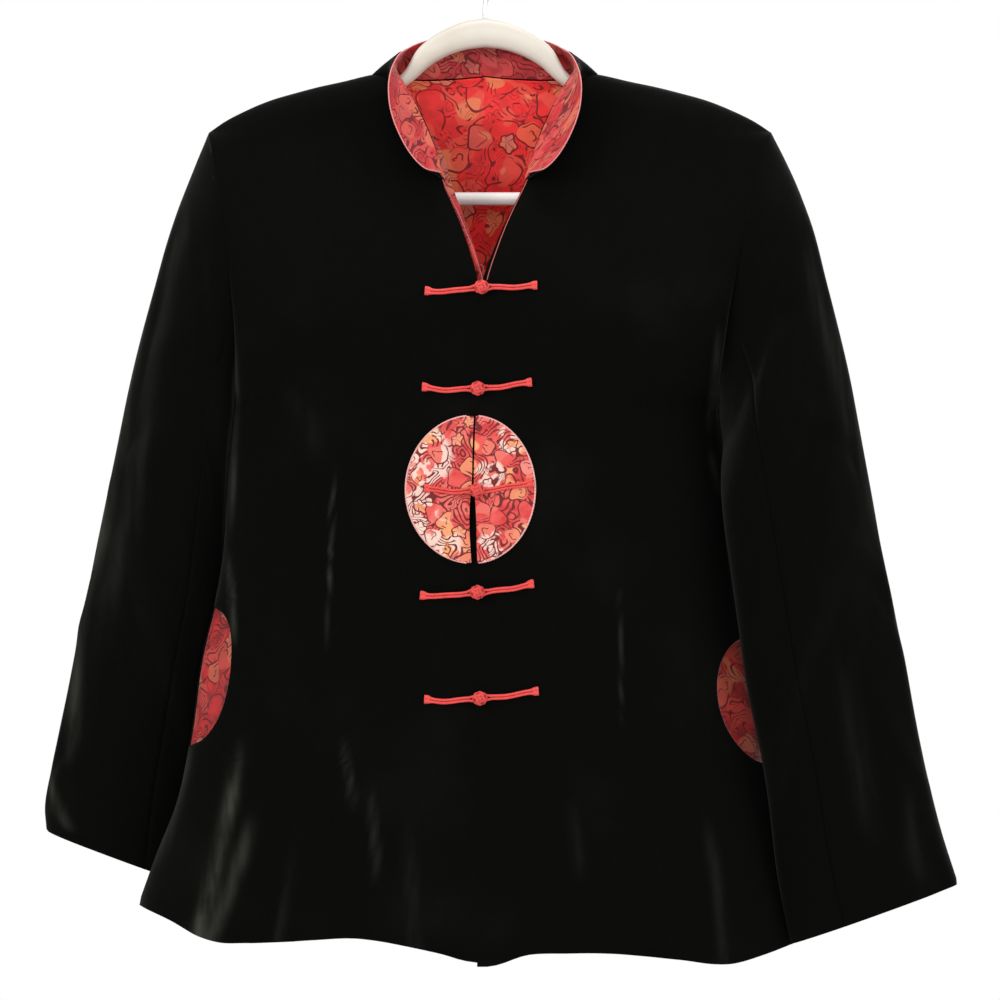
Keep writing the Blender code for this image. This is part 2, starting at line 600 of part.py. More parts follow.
def frog(number):
    row = {column: values[number - 1] for column, values in FROGS.items()}
    on_patch = abs(row["drop"] - MEDALLION_DROP) < 5
    base = ABOVE + (MEDALLION_CLOTH + SEAM if on_patch else 0)
    knot_at = on_front(row["x"], row["drop"], base + KNOT[1])
    ball(f"frog_{number}_knot", knot_at, KNOT)
    for side, word in ((RIGHT, "right"), (LEFT, "left")):
        start, end = row["x"] + side * (KNOT[0] + SEAM), row[f"{word}_x"]
        share = np.linspace(0, 1, 8)
        x = start + (end - start) * share
        sag = 1.6 * np.sin(math.pi * share) * (1 if side == RIGHT else 0.4)
        drop = row["drop"] + (row[f"{word}_end"] - row["drop"]) * share + sag
        path = on_front(x, drop, base + CORD_HALF_DEPTH)
        width = 1 + (LEG_END - 1) * np.clip((share - 0.8) / 0.2, 0, 1)
        tall = np.stack([0 * x, 0 * x, CORD_HALF_HEIGHT * width], axis=-1)
        deep = np.stack([0 * x, CORD_HALF_DEPTH + 0 * x, 0 * x], axis=-1)
        tube(f"frog_{number}_leg_{word}", path, tall, deep, CORD)


def ball(name, middle, half):
    """A ball knot, as a squashed ball."""
    rows, sides = 7, 10
    points = [middle + np.array([0, 0, half[2]])]
    for i in range(1, rows):
        down = math.pi * i / rows
        for j in range(sides):
            turn = 2 * math.pi * j / sides
            way = np.array([math.sin(down) * math.cos(turn), math.sin(down) * math.sin(turn), math.cos(down)])
            points.append(middle + way * half)
    points.append(middle - np.array([0, 0, half[2]]))
    last = len(points) - 1
    faces = []
    for j in range(sides):
        k = (j + 1) % sides
        faces.append((0, 1 + j, 1 + k))
        faces.append((last, last - sides + k, last - sides + j))
        for i in range(rows - 2):
            a = 1 + i * sides
            faces.append((a + j, a + sides + j, a + sides + k, a + k))
    add_mesh(name, points, faces, CORD)


for number in range(1, len(FROGS["x"]) + 1):
    frog(number)


# The hanger

# Half of its contoured arms: the top edge, the height, the half depth and the middle of each section.
ARMS = table(
    "x top height half_depth middle",
    (0.0, 62.0, 21.4, 7.5, 0.0), (15.0, 64.5, 21.0, 7.5, 0.0), (29.0, 70.0, 20.5, 7.5, -0.5),
    (42.0, 78.0, 20.5, 7.0, -2.0), (51.0, 87.0, 20.0, 7.0, -4.0), (58.0, 99.5, 13.0, 6.5, -5.5),
    (70.0, 109.0, 12.5, 7.0, -4.5), (104.0, 115.0, 13.0, 10.0, -1.0), (139.0, 122.5, 13.0, 11.0, 0.0),
    (168.0, 132.0, 13.0, 10.0, 0.0), (184.0, 141.0, 10.0, 7.0, 0.0), (189.0, 146.5, 4.0, 4.0, 0.0),
)
BAR_DROP, BAR_RADIUS, BAR_HALF, BAR_BEND = 195.0, 4.8, 163.0, 18.0
BAR_UNDER = 3.0  # from the arms down to the bar's ends
HOOK_RADIUS, HOOK_WIRE = 19.0, 1.7
HOOK_STEM_END = 61.8


def squared(wave):
    """A sine or cosine whose ellipse has fuller corners."""
    return np.sign(wave) * np.abs(wave) ** 0.75


def arms():
    order = ARMS["x"]
    half = np.concatenate([np.linspace(0, 60, 9), np.linspace(60, order[-1], 11)[1:]])
    x = np.concatenate([-half[:0:-1], half])
    top, height, depth, middle = (along(np.abs(x), order, column) for column in list(ARMS.values())[1:])
    angles = np.arange(12) * 2 * math.pi / 12
    drop = (top + height / 2)[:, None] - (height / 2)[:, None] * squared(np.cos(angles))
    y = middle[:, None] + depth[:, None] * squared(np.sin(angles))
    ring = xyz(x[:, None], y, drop)
    sides = len(angles)
    faces = [
        (i * sides + j, i * sides + (j + 1) % sides, (i + 1) * sides + (j + 1) % sides, (i + 1) * sides + j)
        for i in range(len(x) - 1) for j in range(sides)
    ]
    faces.append(tuple(range(sides))[::-1])
    faces.append(tuple((len(x) - 1) * sides + j for j in range(sides)))
    add_mesh("hanger_arms", ring.reshape(-1, 3), faces, HANGER)


def round_bar(name, path, radius, finish, sides):
    """A round bar along a path in the hanger's own plane."""
    way = np.gradient(path, axis=0)
    way /= np.linalg.norm(way, axis=1, keepdims=True)
    sideways = np.stack([-way[:, 2], 0 * way[:, 0], way[:, 0]], axis=-1) * radius
    deep = np.stack([0 * way[:, 0], radius + 0 * way[:, 0], 0 * way[:, 0]], axis=-1)
    tube(name, path, sideways, deep, finish, sides)


def bar():
    """The crossbar, its ends turned up to the undersides of the arms."""
    meets = float(along(BAR_HALF, ARMS["x"], ARMS["top"]) + along(BAR_HALF, ARMS["x"], ARMS["height"]))
    bend = np.linspace(0, math.pi / 2, 6)
    bend_x = BAR_HALF - BAR_BEND * (1 - np.cos(bend))
    bend_drop = BAR_DROP - BAR_BEND * (1 - np.sin(bend))
    x = np.concatenate([[BAR_HALF], bend_x, [BAR_HALF / 3, 0.0]])
    drop = np.concatenate([[meets + BAR_UNDER], bend_drop, [BAR_DROP, BAR_DROP]])
    path = xyz(np.concatenate([-x, x[-2::-1]]), 0.0, np.concatenate([drop, drop[-2::-1]]))
    round_bar("hanger_bar", path, BAR_RADIUS, HANGER, 10)


def hook():
    """A wire hook: a straight stem, a swing to one side, then most of a circle over the rail."""
    radius = HOOK_RADIUS + HOOK_WIRE
    turn = np.radians(np.linspace(-52, 196, 22))
    circle = np.stack([radius * np.cos(turn), HOOK_RADIUS - radius * np.sin(turn)], axis=-1)
    swing = np.array([(0.0, HOOK_STEM_END), (0.0, 54.0), (0.8, 48.5), (4.0, 43.0), (8.5, 39.0)])
    path = np.concatenate([swing, circle])
    round_bar("hanger_hook", xyz(path[:, 0], 0.0, path[:, 1]), HOOK_WIRE, STEEL, 8)


arms()
bar()
hook()
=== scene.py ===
"""A reversible jacket of black velvet and red brocade, closed with frogs, on a suit hanger.

Sizes are in millimetres, each "drop" is a distance below the rail, and meshes are made in metres.
"""

import math

import bpy
import numpy as np
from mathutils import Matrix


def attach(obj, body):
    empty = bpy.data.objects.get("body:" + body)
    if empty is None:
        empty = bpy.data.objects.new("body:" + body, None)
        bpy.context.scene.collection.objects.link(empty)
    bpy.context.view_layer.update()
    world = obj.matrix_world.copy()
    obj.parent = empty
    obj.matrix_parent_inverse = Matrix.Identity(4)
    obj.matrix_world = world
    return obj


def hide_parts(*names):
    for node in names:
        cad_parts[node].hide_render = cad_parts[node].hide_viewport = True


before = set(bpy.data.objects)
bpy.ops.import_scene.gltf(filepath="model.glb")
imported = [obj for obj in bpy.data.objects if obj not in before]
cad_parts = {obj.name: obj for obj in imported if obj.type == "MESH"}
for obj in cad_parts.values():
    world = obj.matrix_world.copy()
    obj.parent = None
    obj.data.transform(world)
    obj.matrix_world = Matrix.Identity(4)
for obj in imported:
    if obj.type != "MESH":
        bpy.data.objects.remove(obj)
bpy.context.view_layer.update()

# The camera looks level at the flat front of the hanging jacket, from far enough away that its
# outline isn't widened by the depth of the folds.

MM = 0.001
CAMERA_AWAY = 4.5
VIEW_WIDTH = 0.737
VIEW_MIDDLE = (0.011, -0.417)

lens = bpy.data.cameras.new("camera")
lens.sensor_width = 36
lens.lens = lens.sensor_width * CAMERA_AWAY / VIEW_WIDTH
lens.clip_end = 100
camera = bpy.data.objects.new("camera", lens)
camera.location = (VIEW_MIDDLE[0], -CAMERA_AWAY, VIEW_MIDDLE[1])
camera.rotation_euler = (math.radians(90), 0, 0)
bpy.context.scene.collection.objects.link(camera)
bpy.context.scene.camera = camera

# The studio: a pale floor well below the hem, a white surround that lights evenly, and large soft
# lamps from both sides and above that catch the pile of the velvet along its folds.

FLOOR_DROP = 1.5
FLOOR_RADIUS = 3.2
SURROUND_SEEN = 1.0
SURROUND_LIGHT = 0.70

bpy.context.scene.view_settings.view_transform = "Standard"
world = bpy.data.worlds.new("studio")
world.use_nodes = True
bpy.context.scene.world = world
links = world.node_tree.links
surround = world.node_tree.nodes["Background"]
surround.inputs["Color"].default_value = (1, 1, 1, 1)
ray = world.node_tree.nodes.new("ShaderNodeLightPath")
strength = world.node_tree.nodes.new("ShaderNodeMapRange")
strength.inputs["To Min"].default_value = SURROUND_LIGHT
strength.inputs["To Max"].default_value = SURROUND_SEEN
links.new(ray.outputs["Is Camera Ray"], strength.inputs["Value"])
links.new(strength.outputs["Result"], surround.inputs["Strength"])


def lamp(name, place, aim, size, power):
    """A large square soft box, aimed at a point."""
    light = bpy.data.lights.new(name, "AREA")
    light.size = size
    light.energy = power
    made = bpy.data.objects.new(name, light)
    made.location = place
    away = np.array(place, float) - aim
    level = math.hypot(away[0], away[1])
    made.rotation_euler = (math.atan2(level, away[2]), 0, math.atan2(away[0], -away[1]))
    bpy.context.scene.collection.objects.link(made)


lamp("key_lamp", (-2.3, -1.9, 0.7), (0, 0, -0.4), 1.2, 46)
lamp("fill_lamp", (2.5, -1.5, 0.1), (0, 0, -0.4), 1.2, 30)
lamp("neck_lamp", (0.2, -2.4, 0.3), (0, 0, -0.2), 0.8, 9)
lamp("top_lamp", (0.0, -0.3, 1.6), (0, 0, -0.3), 1.4, 22)
lamp("back_lamp", (0.9, 2.6, 0.8), (0, 0, -0.4), 1.6, 30)


class Value:
    """One socket of a finish, so that its maths reads as plain arithmetic."""

    def __init__(self, finish, socket):
        self.finish = finish
        self.socket = socket

    def maths(self, operation, *others):
        return self.finish.node("ShaderNodeMath", {"operation": operation}, dict(enumerate((self, *others))))

    def __add__(self, other):
        return self.maths("ADD", other)

    __radd__ = __add__

    def __sub__(self, other):
        return self.maths("SUBTRACT", other)

    def __rsub__(self, other):
        return self * -1.0 + other

    def __mul__(self, other):
        return self.maths("MULTIPLY", other)

    __rmul__ = __mul__

    def wave(self):
        return self.maths("SINE")

    def size(self):
        return self.maths("ABSOLUTE")

    def part(self):
        return self.maths("FRACT")

    def or_more(self, other):
        return self.maths("MAXIMUM", other)

    def step(self, start, end):
        """Rises smoothly from 0 at the start to 1 at the end, or falls where the end is lower."""
        low, high, to = (start, end, (0, 1)) if start < end else (end, start, (1, 0))
        sockets = {"Value": self, "From Min": low, "From Max": high, "To Min": to[0], "To Max": to[1]}
        return self.finish.node("ShaderNodeMapRange", {"interpolation_type": "SMOOTHSTEP"}, sockets)


class Finish:
    """A material: its main shader, and one method that makes every other node."""

    def __init__(self, name, constants):
        self.made = bpy.data.materials.new(name)
        self.made.use_nodes = True
        self.tree = self.made.node_tree
        self.shader = self.tree.nodes["Principled BSDF"]
        for socket, value in constants.items():
            self.shader.inputs[socket].default_value = value

    def fill(self, sockets, values):
        for key, value in values.items():
            if isinstance(value, Value):
                self.tree.links.new(value.socket, sockets[key])
            elif isinstance(value, tuple) and sockets[key].type == "RGBA":
                sockets[key].default_value = (*value, 1)
            else:
                sockets[key].default_value = value

    def node(self, kind, settings, sockets, output=0):
        made = self.tree.nodes.new(kind)
        for key, value in settings.items():
            if key == "stops":
                for stop in value[2:]:
                    made.color_ramp.elements.new(stop[0])
                for element, (place, colour) in zip(made.color_ramp.elements, value):
                    element.position = place
                    element.color = (*colour, 1)
            else:
                setattr(made, key, value)
        self.fill(made.inputs, sockets)
        return Value(self, made.outputs[output])

    def place(self):
        """Where a point of the piece is, in metres."""
        return self.node("ShaderNodeTexCoord", {}, {}, "Object")

    def cloth(self):
        """Where a point lies on the flat cloth, in metres."""
        return self.node("ShaderNodeUVMap", {"uv_map": "cloth"}, {})

    def noise(self, at, scale, detail=2.0, output=0):
        return self.node("ShaderNodeTexNoise", {}, {"Vector": at, "Scale": scale, "Detail": detail}, output)

    def vector(self, operation, first, second):
        """Vector maths. A scale takes a number second, the others a vector."""
        key = 3 if operation == "SCALE" else 1
        return self.node("ShaderNodeVectorMath", {"operation": operation}, {0: first, key: second})

    def axis(self, vector, letter):
        """One number of a vector."""
        return self.node("ShaderNodeSeparateXYZ", {}, {"Vector": vector}, letter)

    def mix(self, share, first, second, blend="MIX"):
        sockets = {0: share, 6: first, 7: second}
        return self.node("ShaderNodeMix", {"data_type": "RGBA", "blend_type": blend}, sockets, 2)

    def bump(self, height, distance, strength=1.0):
        sockets = {"Height": height, "Distance": distance, "Strength": strength}
        self.fill(self.shader.inputs, {"Normal": self.node("ShaderNodeBump", {}, sockets)})

    def surface(self, **values):
        self.fill(self.shader.inputs, {key.replace("_", " "): v for key, v in values.items()})


floor_finish = Finish("pale_floor", {"Roughness": 0.9})
grain = floor_finish.noise(floor_finish.place(), 40.0, 4.0)
floor_finish.surface(Base_Color=floor_finish.mix(grain, (0.80, 0.80, 0.79), (0.84, 0.84, 0.83)))
bpy.ops.mesh.primitive_circle_add(
    vertices=96, radius=FLOOR_RADIUS, fill_type="NGON", location=(0, 0, -FLOOR_DROP),
)
floor = bpy.context.object
floor.name = "floor"
floor.data.materials.append(floor_finish.made)

# The black velvet: a short upright pile on a woven back. It looks almost black from the front and
# lifts to grey where it is seen along its pile. It has faint random rubbed patches, and painted
# highlights that lighten its colour in streaks along the folds, standing in for their sheen.

PILE_LOOK = {
    "Sheen Weight": 0.065, "Sheen Roughness": 0.30, "Sheen Tint": (0.80, 0.82, 0.78, 1),
    "Specular IOR Level": 0.05,
}


def velvet_finish(name, dark, light):
    """The velvet. Its mesh says how strongly a painted highlight lightens its colour at each point, along the
    folds.
    """
    finish = Finish(name, PILE_LOOK)
    at = finish.cloth()
    # Vertical streaks that shape the painted highlight below.
    hanging = finish.noise(finish.vector("MULTIPLY", at, (70.0, 12.0, 1.0)), 1.0, 3.0)
    rubbed = finish.noise(at, 9.0, 3.0)
    nap = finish.noise(at, 95.0, 3.0)
    tufts = finish.noise(at, 1300.0, 1.0)
    # Painted highlight: the mesh's painted sheen, broken into streaks and grain, lightens the colour where
    # folds would shine, and faint random rubbed patches are added to it.
    laid = finish.node("ShaderNodeAttribute", {"attribute_name": "laid"}, {}, 2)
    laid = laid * (hanging.step(0.30, 0.66) * 0.8 + nap * 0.4) + rubbed.step(0.50, 0.75) * nap * 0.05
    finish.surface(
        Base_Color=finish.mix(laid + tufts.step(0.35, 0.7) * 0.03, dark, light),
        Roughness=0.86 + nap * 0.1,
    )
    finish.bump(tufts + nap * 0.5, 0.0006, 0.6)
    return finish


# Its second colour is the painted highlight of the lit folds.
velvet = velvet_finish("black_velvet", (0.0004, 0.0004, 0.0003), (0.046, 0.048, 0.038))

# The red brocade: a satin ground woven with traditional scrolled clouds and blossoms, outlined in
# maroon and filled with coral, gold and rose threads. It lines the jacket, and makes its trim.

SATIN_LOOK = {"Sheen Weight": 0.10, "Sheen Roughness": 0.5, "Specular IOR Level": 0.3}
CLOUD_SPACING = 0.026
BLOSSOM_SPACING = 0.043
SCROLL_SCALE = 34.0  # turns of the scrolled ground, a metre
THREADS = 1900.0  # a metre, across the satin's floats


def brocade_finish(name, ground, shade, fills, line, busy=0.0, by_place=False, silver=()):
    """The brocade in one of its shades. The fills are its three thread colours, and silver lists
    the places (x, drop, reach) where its pale threads come to the face."""
    finish = Finish(name, SATIN_LOOK)
    at = finish.place() if by_place else finish.cloth()
    if by_place:
        flattened = finish.vector("MULTIPLY", at, (1.0, 0.0, 1.0))
        at = finish.node("ShaderNodeMapping", {}, {"Vector": flattened, "Rotation": (math.pi / 2, 0, 0)})
    bend = finish.noise(at, 60.0, 1.0, output=1)
    bend = finish.vector("SCALE", finish.vector("SUBTRACT", bend, (0.5, 0.5, 0.5)), 0.009)
    bent = finish.vector("ADD", at, bend)

    def cells(spacing, random):
        """Places spread over the cloth: how far a point is from its nearest, its bearing, and a share."""
        scaled = finish.vector("SCALE", bent, (1 + 0.5 * busy) / spacing)
        sockets = {"Vector": scaled, "Scale": 1.0, "Randomness": random}
        settings = {"voronoi_dimensions": "2D"}
        away, middle, share = (
            finish.node("ShaderNodeTexVoronoi", settings, sockets, output)
            for output in ("Distance", "Position", "Color")
        )
        ways = finish.vector("SUBTRACT", scaled, middle)
        across, up = finish.axis(ways, "X"), finish.axis(ways, "Y")
        share = finish.node("ShaderNodeSeparateColor", {}, {"Color": share}, "Red")
        return away, up.maths("ARCTAN2", across), share

    haze = finish.noise(at, 95.0, 2.0)
    patches = finish.noise(at, 44.0, 1.0)
    gold = finish.noise(finish.vector("ADD", at, (0.7, 0.3, 0.0)), 38.0, 1.0)
    colour = finish.mix(haze.step(0.35, 0.7), ground, shade)
    colour = finish.mix(patches.step(0.53, 0.57) * (0.55 + busy * 0.3), colour, fills[0])
    colour = finish.mix(gold.step(0.59, 0.62) * (0.7 + busy * 0.2), colour, fills[1])

    # Scrolled lines of thread, which run side by side in short lengths
    turns = finish.noise(bent, SCROLL_SCALE * (1 + 0.35 * busy), 1.0)
    lines = ((turns * 15.0).part() - 0.5).size().step(0.15 + 0.10 * busy, 0.08 + 0.05 * busy)
    small = ((finish.noise(bent, SCROLL_SCALE * 3.2, 0.0) * 7.0).part() - 0.5).size().step(0.15, 0.07)
    short = finish.noise(at, 120.0, 0.0)
    scrolls = lines * short.step(0.47 - busy * 0.13, 0.53 - busy * 0.13)
    scrolls = scrolls.or_more(small * short.step(0.52, 0.42) * (0.6 + busy * 0.4))

    # Clouds with scalloped edges, some of them filled
    away, bearing, share = cells(CLOUD_SPACING, 0.9)
    puff = away + (bearing * 3.0 + share * 6.0).wave() * 0.04
    filled = puff.step(0.36, 0.33) * (share * 7.0).wave().step(0.0, 0.3)
    thread = finish.node(
        "ShaderNodeValToRGB", {"stops": ((0.0, fills[0]), (0.5, fills[1]), (1.0, fills[2]))}, {"Fac": share},
    )
    colour = finish.mix(filled * (0.45 + busy * 0.3), colour, thread)
    curl = (puff * 4.2 + bearing * (0.5 / math.pi) + share * 3.0).part()
    turned = (bearing + share * 12.0).wave()
    scroll = (curl - 0.5).size().step(0.12, 0.07) * puff.step(0.35, 0.32) * turned.step(0.5, 0.1)
    rim = (puff - 0.37).size().step(0.032, 0.018) * turned.step(-0.5, 0.0)
    drawn = scrolls * puff.step(0.36, 0.40) * (1.0 - filled * 0.5)
    drawn = drawn.or_more(scroll * filled).or_more(rim)

    # Blossoms
    away, bearing, share = cells(BLOSSOM_SPACING, 0.8)
    petal = away - (bearing * 5.0 + share * 6.0).wave() * 0.022
    bloom = petal.step(0.165, 0.15) * (share * 17.0).wave().step(0.1, 0.2)
    colour = finish.mix(bloom * 0.8, colour, finish.mix(haze.step(0.3, 0.7), fills[1], fills[2]))
    veins = (bearing * 2.5 + share * 3.0).wave().size().step(0.22, 0.10) * bloom
    ring = (petal - 0.160).size().step(0.024, 0.012) * (share * 17.0).wave().step(0.1, 0.2)
    drawn = (drawn * (1.0 - bloom)).or_more(veins).or_more(ring)

    for x, z, reach in silver:
        apart = finish.vector("SUBTRACT", at, (x, z, 0.0))
        away = finish.node("ShaderNodeVectorMath", {"operation": "LENGTH"}, {0: apart}, "Value")
        pale = away.step(reach, reach * 0.75) * haze.step(0.47, 0.50)
        colour = finish.mix(pale * 0.85, colour, SILVER)
    colour = finish.mix(drawn, colour, line)
    stretched = finish.vector("MULTIPLY", at, (THREADS, THREADS / 5, THREADS))
    floats = finish.noise(stretched, 1.0, 0.0)
    slubs = finish.noise(finish.vector("MULTIPLY", at, (90.0, 1400.0, 90.0)), 1.0, 1.0)
    colour = finish.mix(floats * 0.22 + slubs * 0.12, colour, shade)
    finish.surface(Base_Color=colour, Roughness=0.40 + floats * 0.16 + drawn * 0.12)
    finish.bump(floats * 0.5 + drawn * 0.9 + bloom * 0.7, 0.0003, 0.6)
    return finish


LINING_RED = (0.97, 0.026, 0.026)
LINING_SHADE = (0.72, 0.022, 0.020)
LINING_THREADS = ((0.92, 0.13, 0.08), (0.86, 0.31, 0.12), (0.55, 0.20, 0.18))
MAROON = (0.13, 0.004, 0.007)
SILVER = (0.76, 0.64, 0.55)
lining_brocade = brocade_finish("lining_brocade", LINING_RED, LINING_SHADE, LINING_THREADS, MAROON)

# The two fronts: each is one panel of velvet with brocade sewn inside it, from the shoulder seam to
# the hem. A long dart shapes the waist, and the side edge is cut back round the pocket.

WALL = 2.4  # the velvet and its lining together
SEAM = 0.06  # the gap left between two pieces that are sewn together
RIGHT, LEFT = -1, 1  # the wearer's sides, as signs of X
SIDES = {RIGHT: "right", LEFT: "left"}
FRONT, BACK = -1, 1  # as signs of Y


def table(columns, *rows):
    """A short table, as one array for each named column."""
    return dict(zip(columns.split(), np.array(rows, float).T))


def along(at, places, values):
    """A smooth curve through a table's column, read at the given places."""
    places, values = np.asarray(places, float), np.asarray(values, float)
    at = np.clip(at, places[0], places[-1])
    slope = np.gradient(values, places)
    i = np.clip(np.searchsorted(places, at) - 1, 0, len(places) - 2)
    step = places[i + 1] - places[i]
    t = (at - places[i]) / step
    rise = t * t * (3 - 2 * t)
    bend = step * t * (1 - t) * ((1 - t) * slope[i] - t * slope[i + 1])
    return values[i] * (1 - rise) + values[i + 1] * rise + bend


# The shoulder seam, as a fraction of the way from the neck to the tip.
SHOULDER = table(
    "share drop",
    (0, 101), (0.13, 104), (0.27, 108.6), (0.4, 112.4), (0.53, 117), (0.67, 122.6), (0.8, 130), (0.92, 138.5),
    (1, 146),
)
# The side of the body, from the shoulder tip down the armhole and the side seam to the hem.
SIDE = table(
    "drop right left",
    (146, 203.4, 210.8), (196, 194, 196), (248, 187, 184), (297, 183, 176), (343.5, 184, 172),
    (388, 188.8, 178.3), (417, 190.5, 182.3), (464, 194, 188), (493, 199.3, 192.5), (528, 207.8, 198.5),
    (594, 217.4, 210), (639, 227, 220), (680, 243, 233), (733, 262, 247),
)
SHOULDER_TIP, ARMPIT = 146.0, 343.5
NECK_SIDE, NECK_SIDE_DROP, NECK_RISE = 68.0, 101.0, 0.12  # the last is a slope, towards the centre back
# The centre line, which drifts a little to the wearer's right as the jacket hangs.
CENTRE = table(
    "drop x",
    (101, 0), (185, -0.8), (261, -3.6), (330, -6), (372, -8), (440, -8.6), (478, -7), (600, -5.6),
    (758, -5.6),
)
# Half the neck opening: the neck seam, then the V down to the first frog.
NECK = table(
    "drop half",
    (101, 68), (113, 60), (127, 52), (141.5, 45), (155, 39.5), (169, 35), (183, 31), (196, 25), (211, 18),
    (236, 8.3), (256, 2), (262, 0.8),
)
COLLAR_END, V_END = 183.0, 262.0
# The hem of the fronts, which waves as the skirt flares.
HEM = table(
    "x drop",
    (-254.3, 715), (-231, 724), (-210, 734.5), (-195, 739), (-175, 739.5), (-126, 736.6), (-96, 735.3),
    (-60, 740), (-30, 746.5), (-12, 751.5), (8, 752.5), (32, 746.6), (60, 746), (100, 746.7), (140, 750.6),
    (180, 754.8), (205, 748.5), (226, 741.5), (247, 735),
)
HEM_STEP, STEP_FADE = 3.0, 20.0  # how much lower the left front's inner corner hangs, and over what width
BACK_HEM = 736.0  # at the centre back
# How far the middle of the front and of the back stand out.
DEPTH = table(
    "drop front back",
    (101, 60, 46), (300, 68, 54), (420, 66, 52), (500, 62, 49), (600, 66, 53), (760, 76, 62),
)
# How square the body's section is: a high power is flat across and round only at its sides.
ROUNDING = table(
    "drop power",
    (101, 10), (250, 5), (343, 3.2), (450, 2.8), (760, 2.6),
)
SHOULDER_ROLL = {FRONT: 22.0, BACK: 20.0}  # round over the hanger
FULL_BELOW = 190.0  # below the shoulder, the body reaches its full depth
ARMHOLE_DEPTH = {FRONT: 43.0, BACK: 38.0}
ARMHOLE_MID, ARMHOLE_HALF = (SHOULDER_TIP + ARMPIT) / 2, (ARMPIT - SHOULDER_TIP) / 2
# The largest folds: soft ridges, or troughs where the height is negative, each along a straight line.
FOLDS = table(
    "face x_top drop_top x_end drop_end spread height",
    (FRONT, -178, 560, -208, 740, 10, 5), (FRONT, -146, 590, -160, 740, 15, -4.5),
    (FRONT, -98, 520, -96, 740, 17, -4), (FRONT, -52, 600, -50, 745, 18, 3),
    (FRONT, 62, 560, 76, 745, 18, -4), (FRONT, 120, 590, 136, 745, 20, 4.5),
    (FRONT, 168, 300, 150, 420, 16, -3.5), (FRONT, -166, 300, -148, 400, 16, -3),
    (BACK, -150, 300, -120, 440, 18, -4), (BACK, 150, 300, 118, 430, 18, -4),
    (BACK, -110, 540, -132, 736, 20, 5), (BACK, -38, 520, -46, 736, 20, -4.5),
    (BACK, 46, 560, 52, 736, 20, 4.5), (BACK, 118, 540, 140, 736, 18, -4),
)


def side_x(drop, side):
    """How far the armhole or side seam lies from the origin's plane."""
    return along(drop, SIDE["drop"], SIDE[SIDES[side]])


def centre_x(drop):
    return along(drop, CENTRE["drop"], CENTRE["x"])


def shoulder_drop(x):
    """The shoulder line above a point, level across the neck."""
    tip = np.where(x < 0, side_x(SHOULDER_TIP, RIGHT), side_x(SHOULDER_TIP, LEFT))
    share = (np.abs(x) - NECK_SIDE) / (tip - NECK_SIDE)
    outside = along(np.clip(share, 0, 1), SHOULDER["share"], SHOULDER["drop"])
    return outside - NECK_RISE * np.clip(NECK_SIDE - np.abs(x), 0, None)


def hem_drop(x, face):
    """The hem's edge. The back's is plain, and meets the front's at the side seams."""
    if face == FRONT:
        return along(x, HEM["x"], HEM["drop"])
    ends = np.interp(x, (HEM["x"][0], HEM["x"][-1]), (HEM["drop"][0], HEM["drop"][-1]))
    return ends + (BACK_HEM - ends) * (1 - (x / HEM["x"][-1]) ** 2).clip(0) ** 0.5


NEAR_HEM = 700.0  # a fold that ends below this runs out over the hem, and any other fades at both ends


def fading(share, end, rise):
    """How strong a fold is along its way: share is 0 at its start and 1 at its end."""
    fade = np.clip(share * rise, 0, 1) if end > NEAR_HEM else np.sin(np.pi * np.clip(share, 0, 1))
    return fade * fade * (3 - 2 * fade)


def folds(x, drop, face):
    """The height of the folds over a point."""
    total = np.zeros(np.broadcast(x, drop).shape)
    for way, x0, top, x1, end, spread, height in zip(*FOLDS.values()):
        if way == face:
            share = (drop - top) / (end - top)
            across = (x - x0 - (x1 - x0) * share) / spread
            total += height * fading(share, end, 1.6) * np.exp(-across * across)
    return total


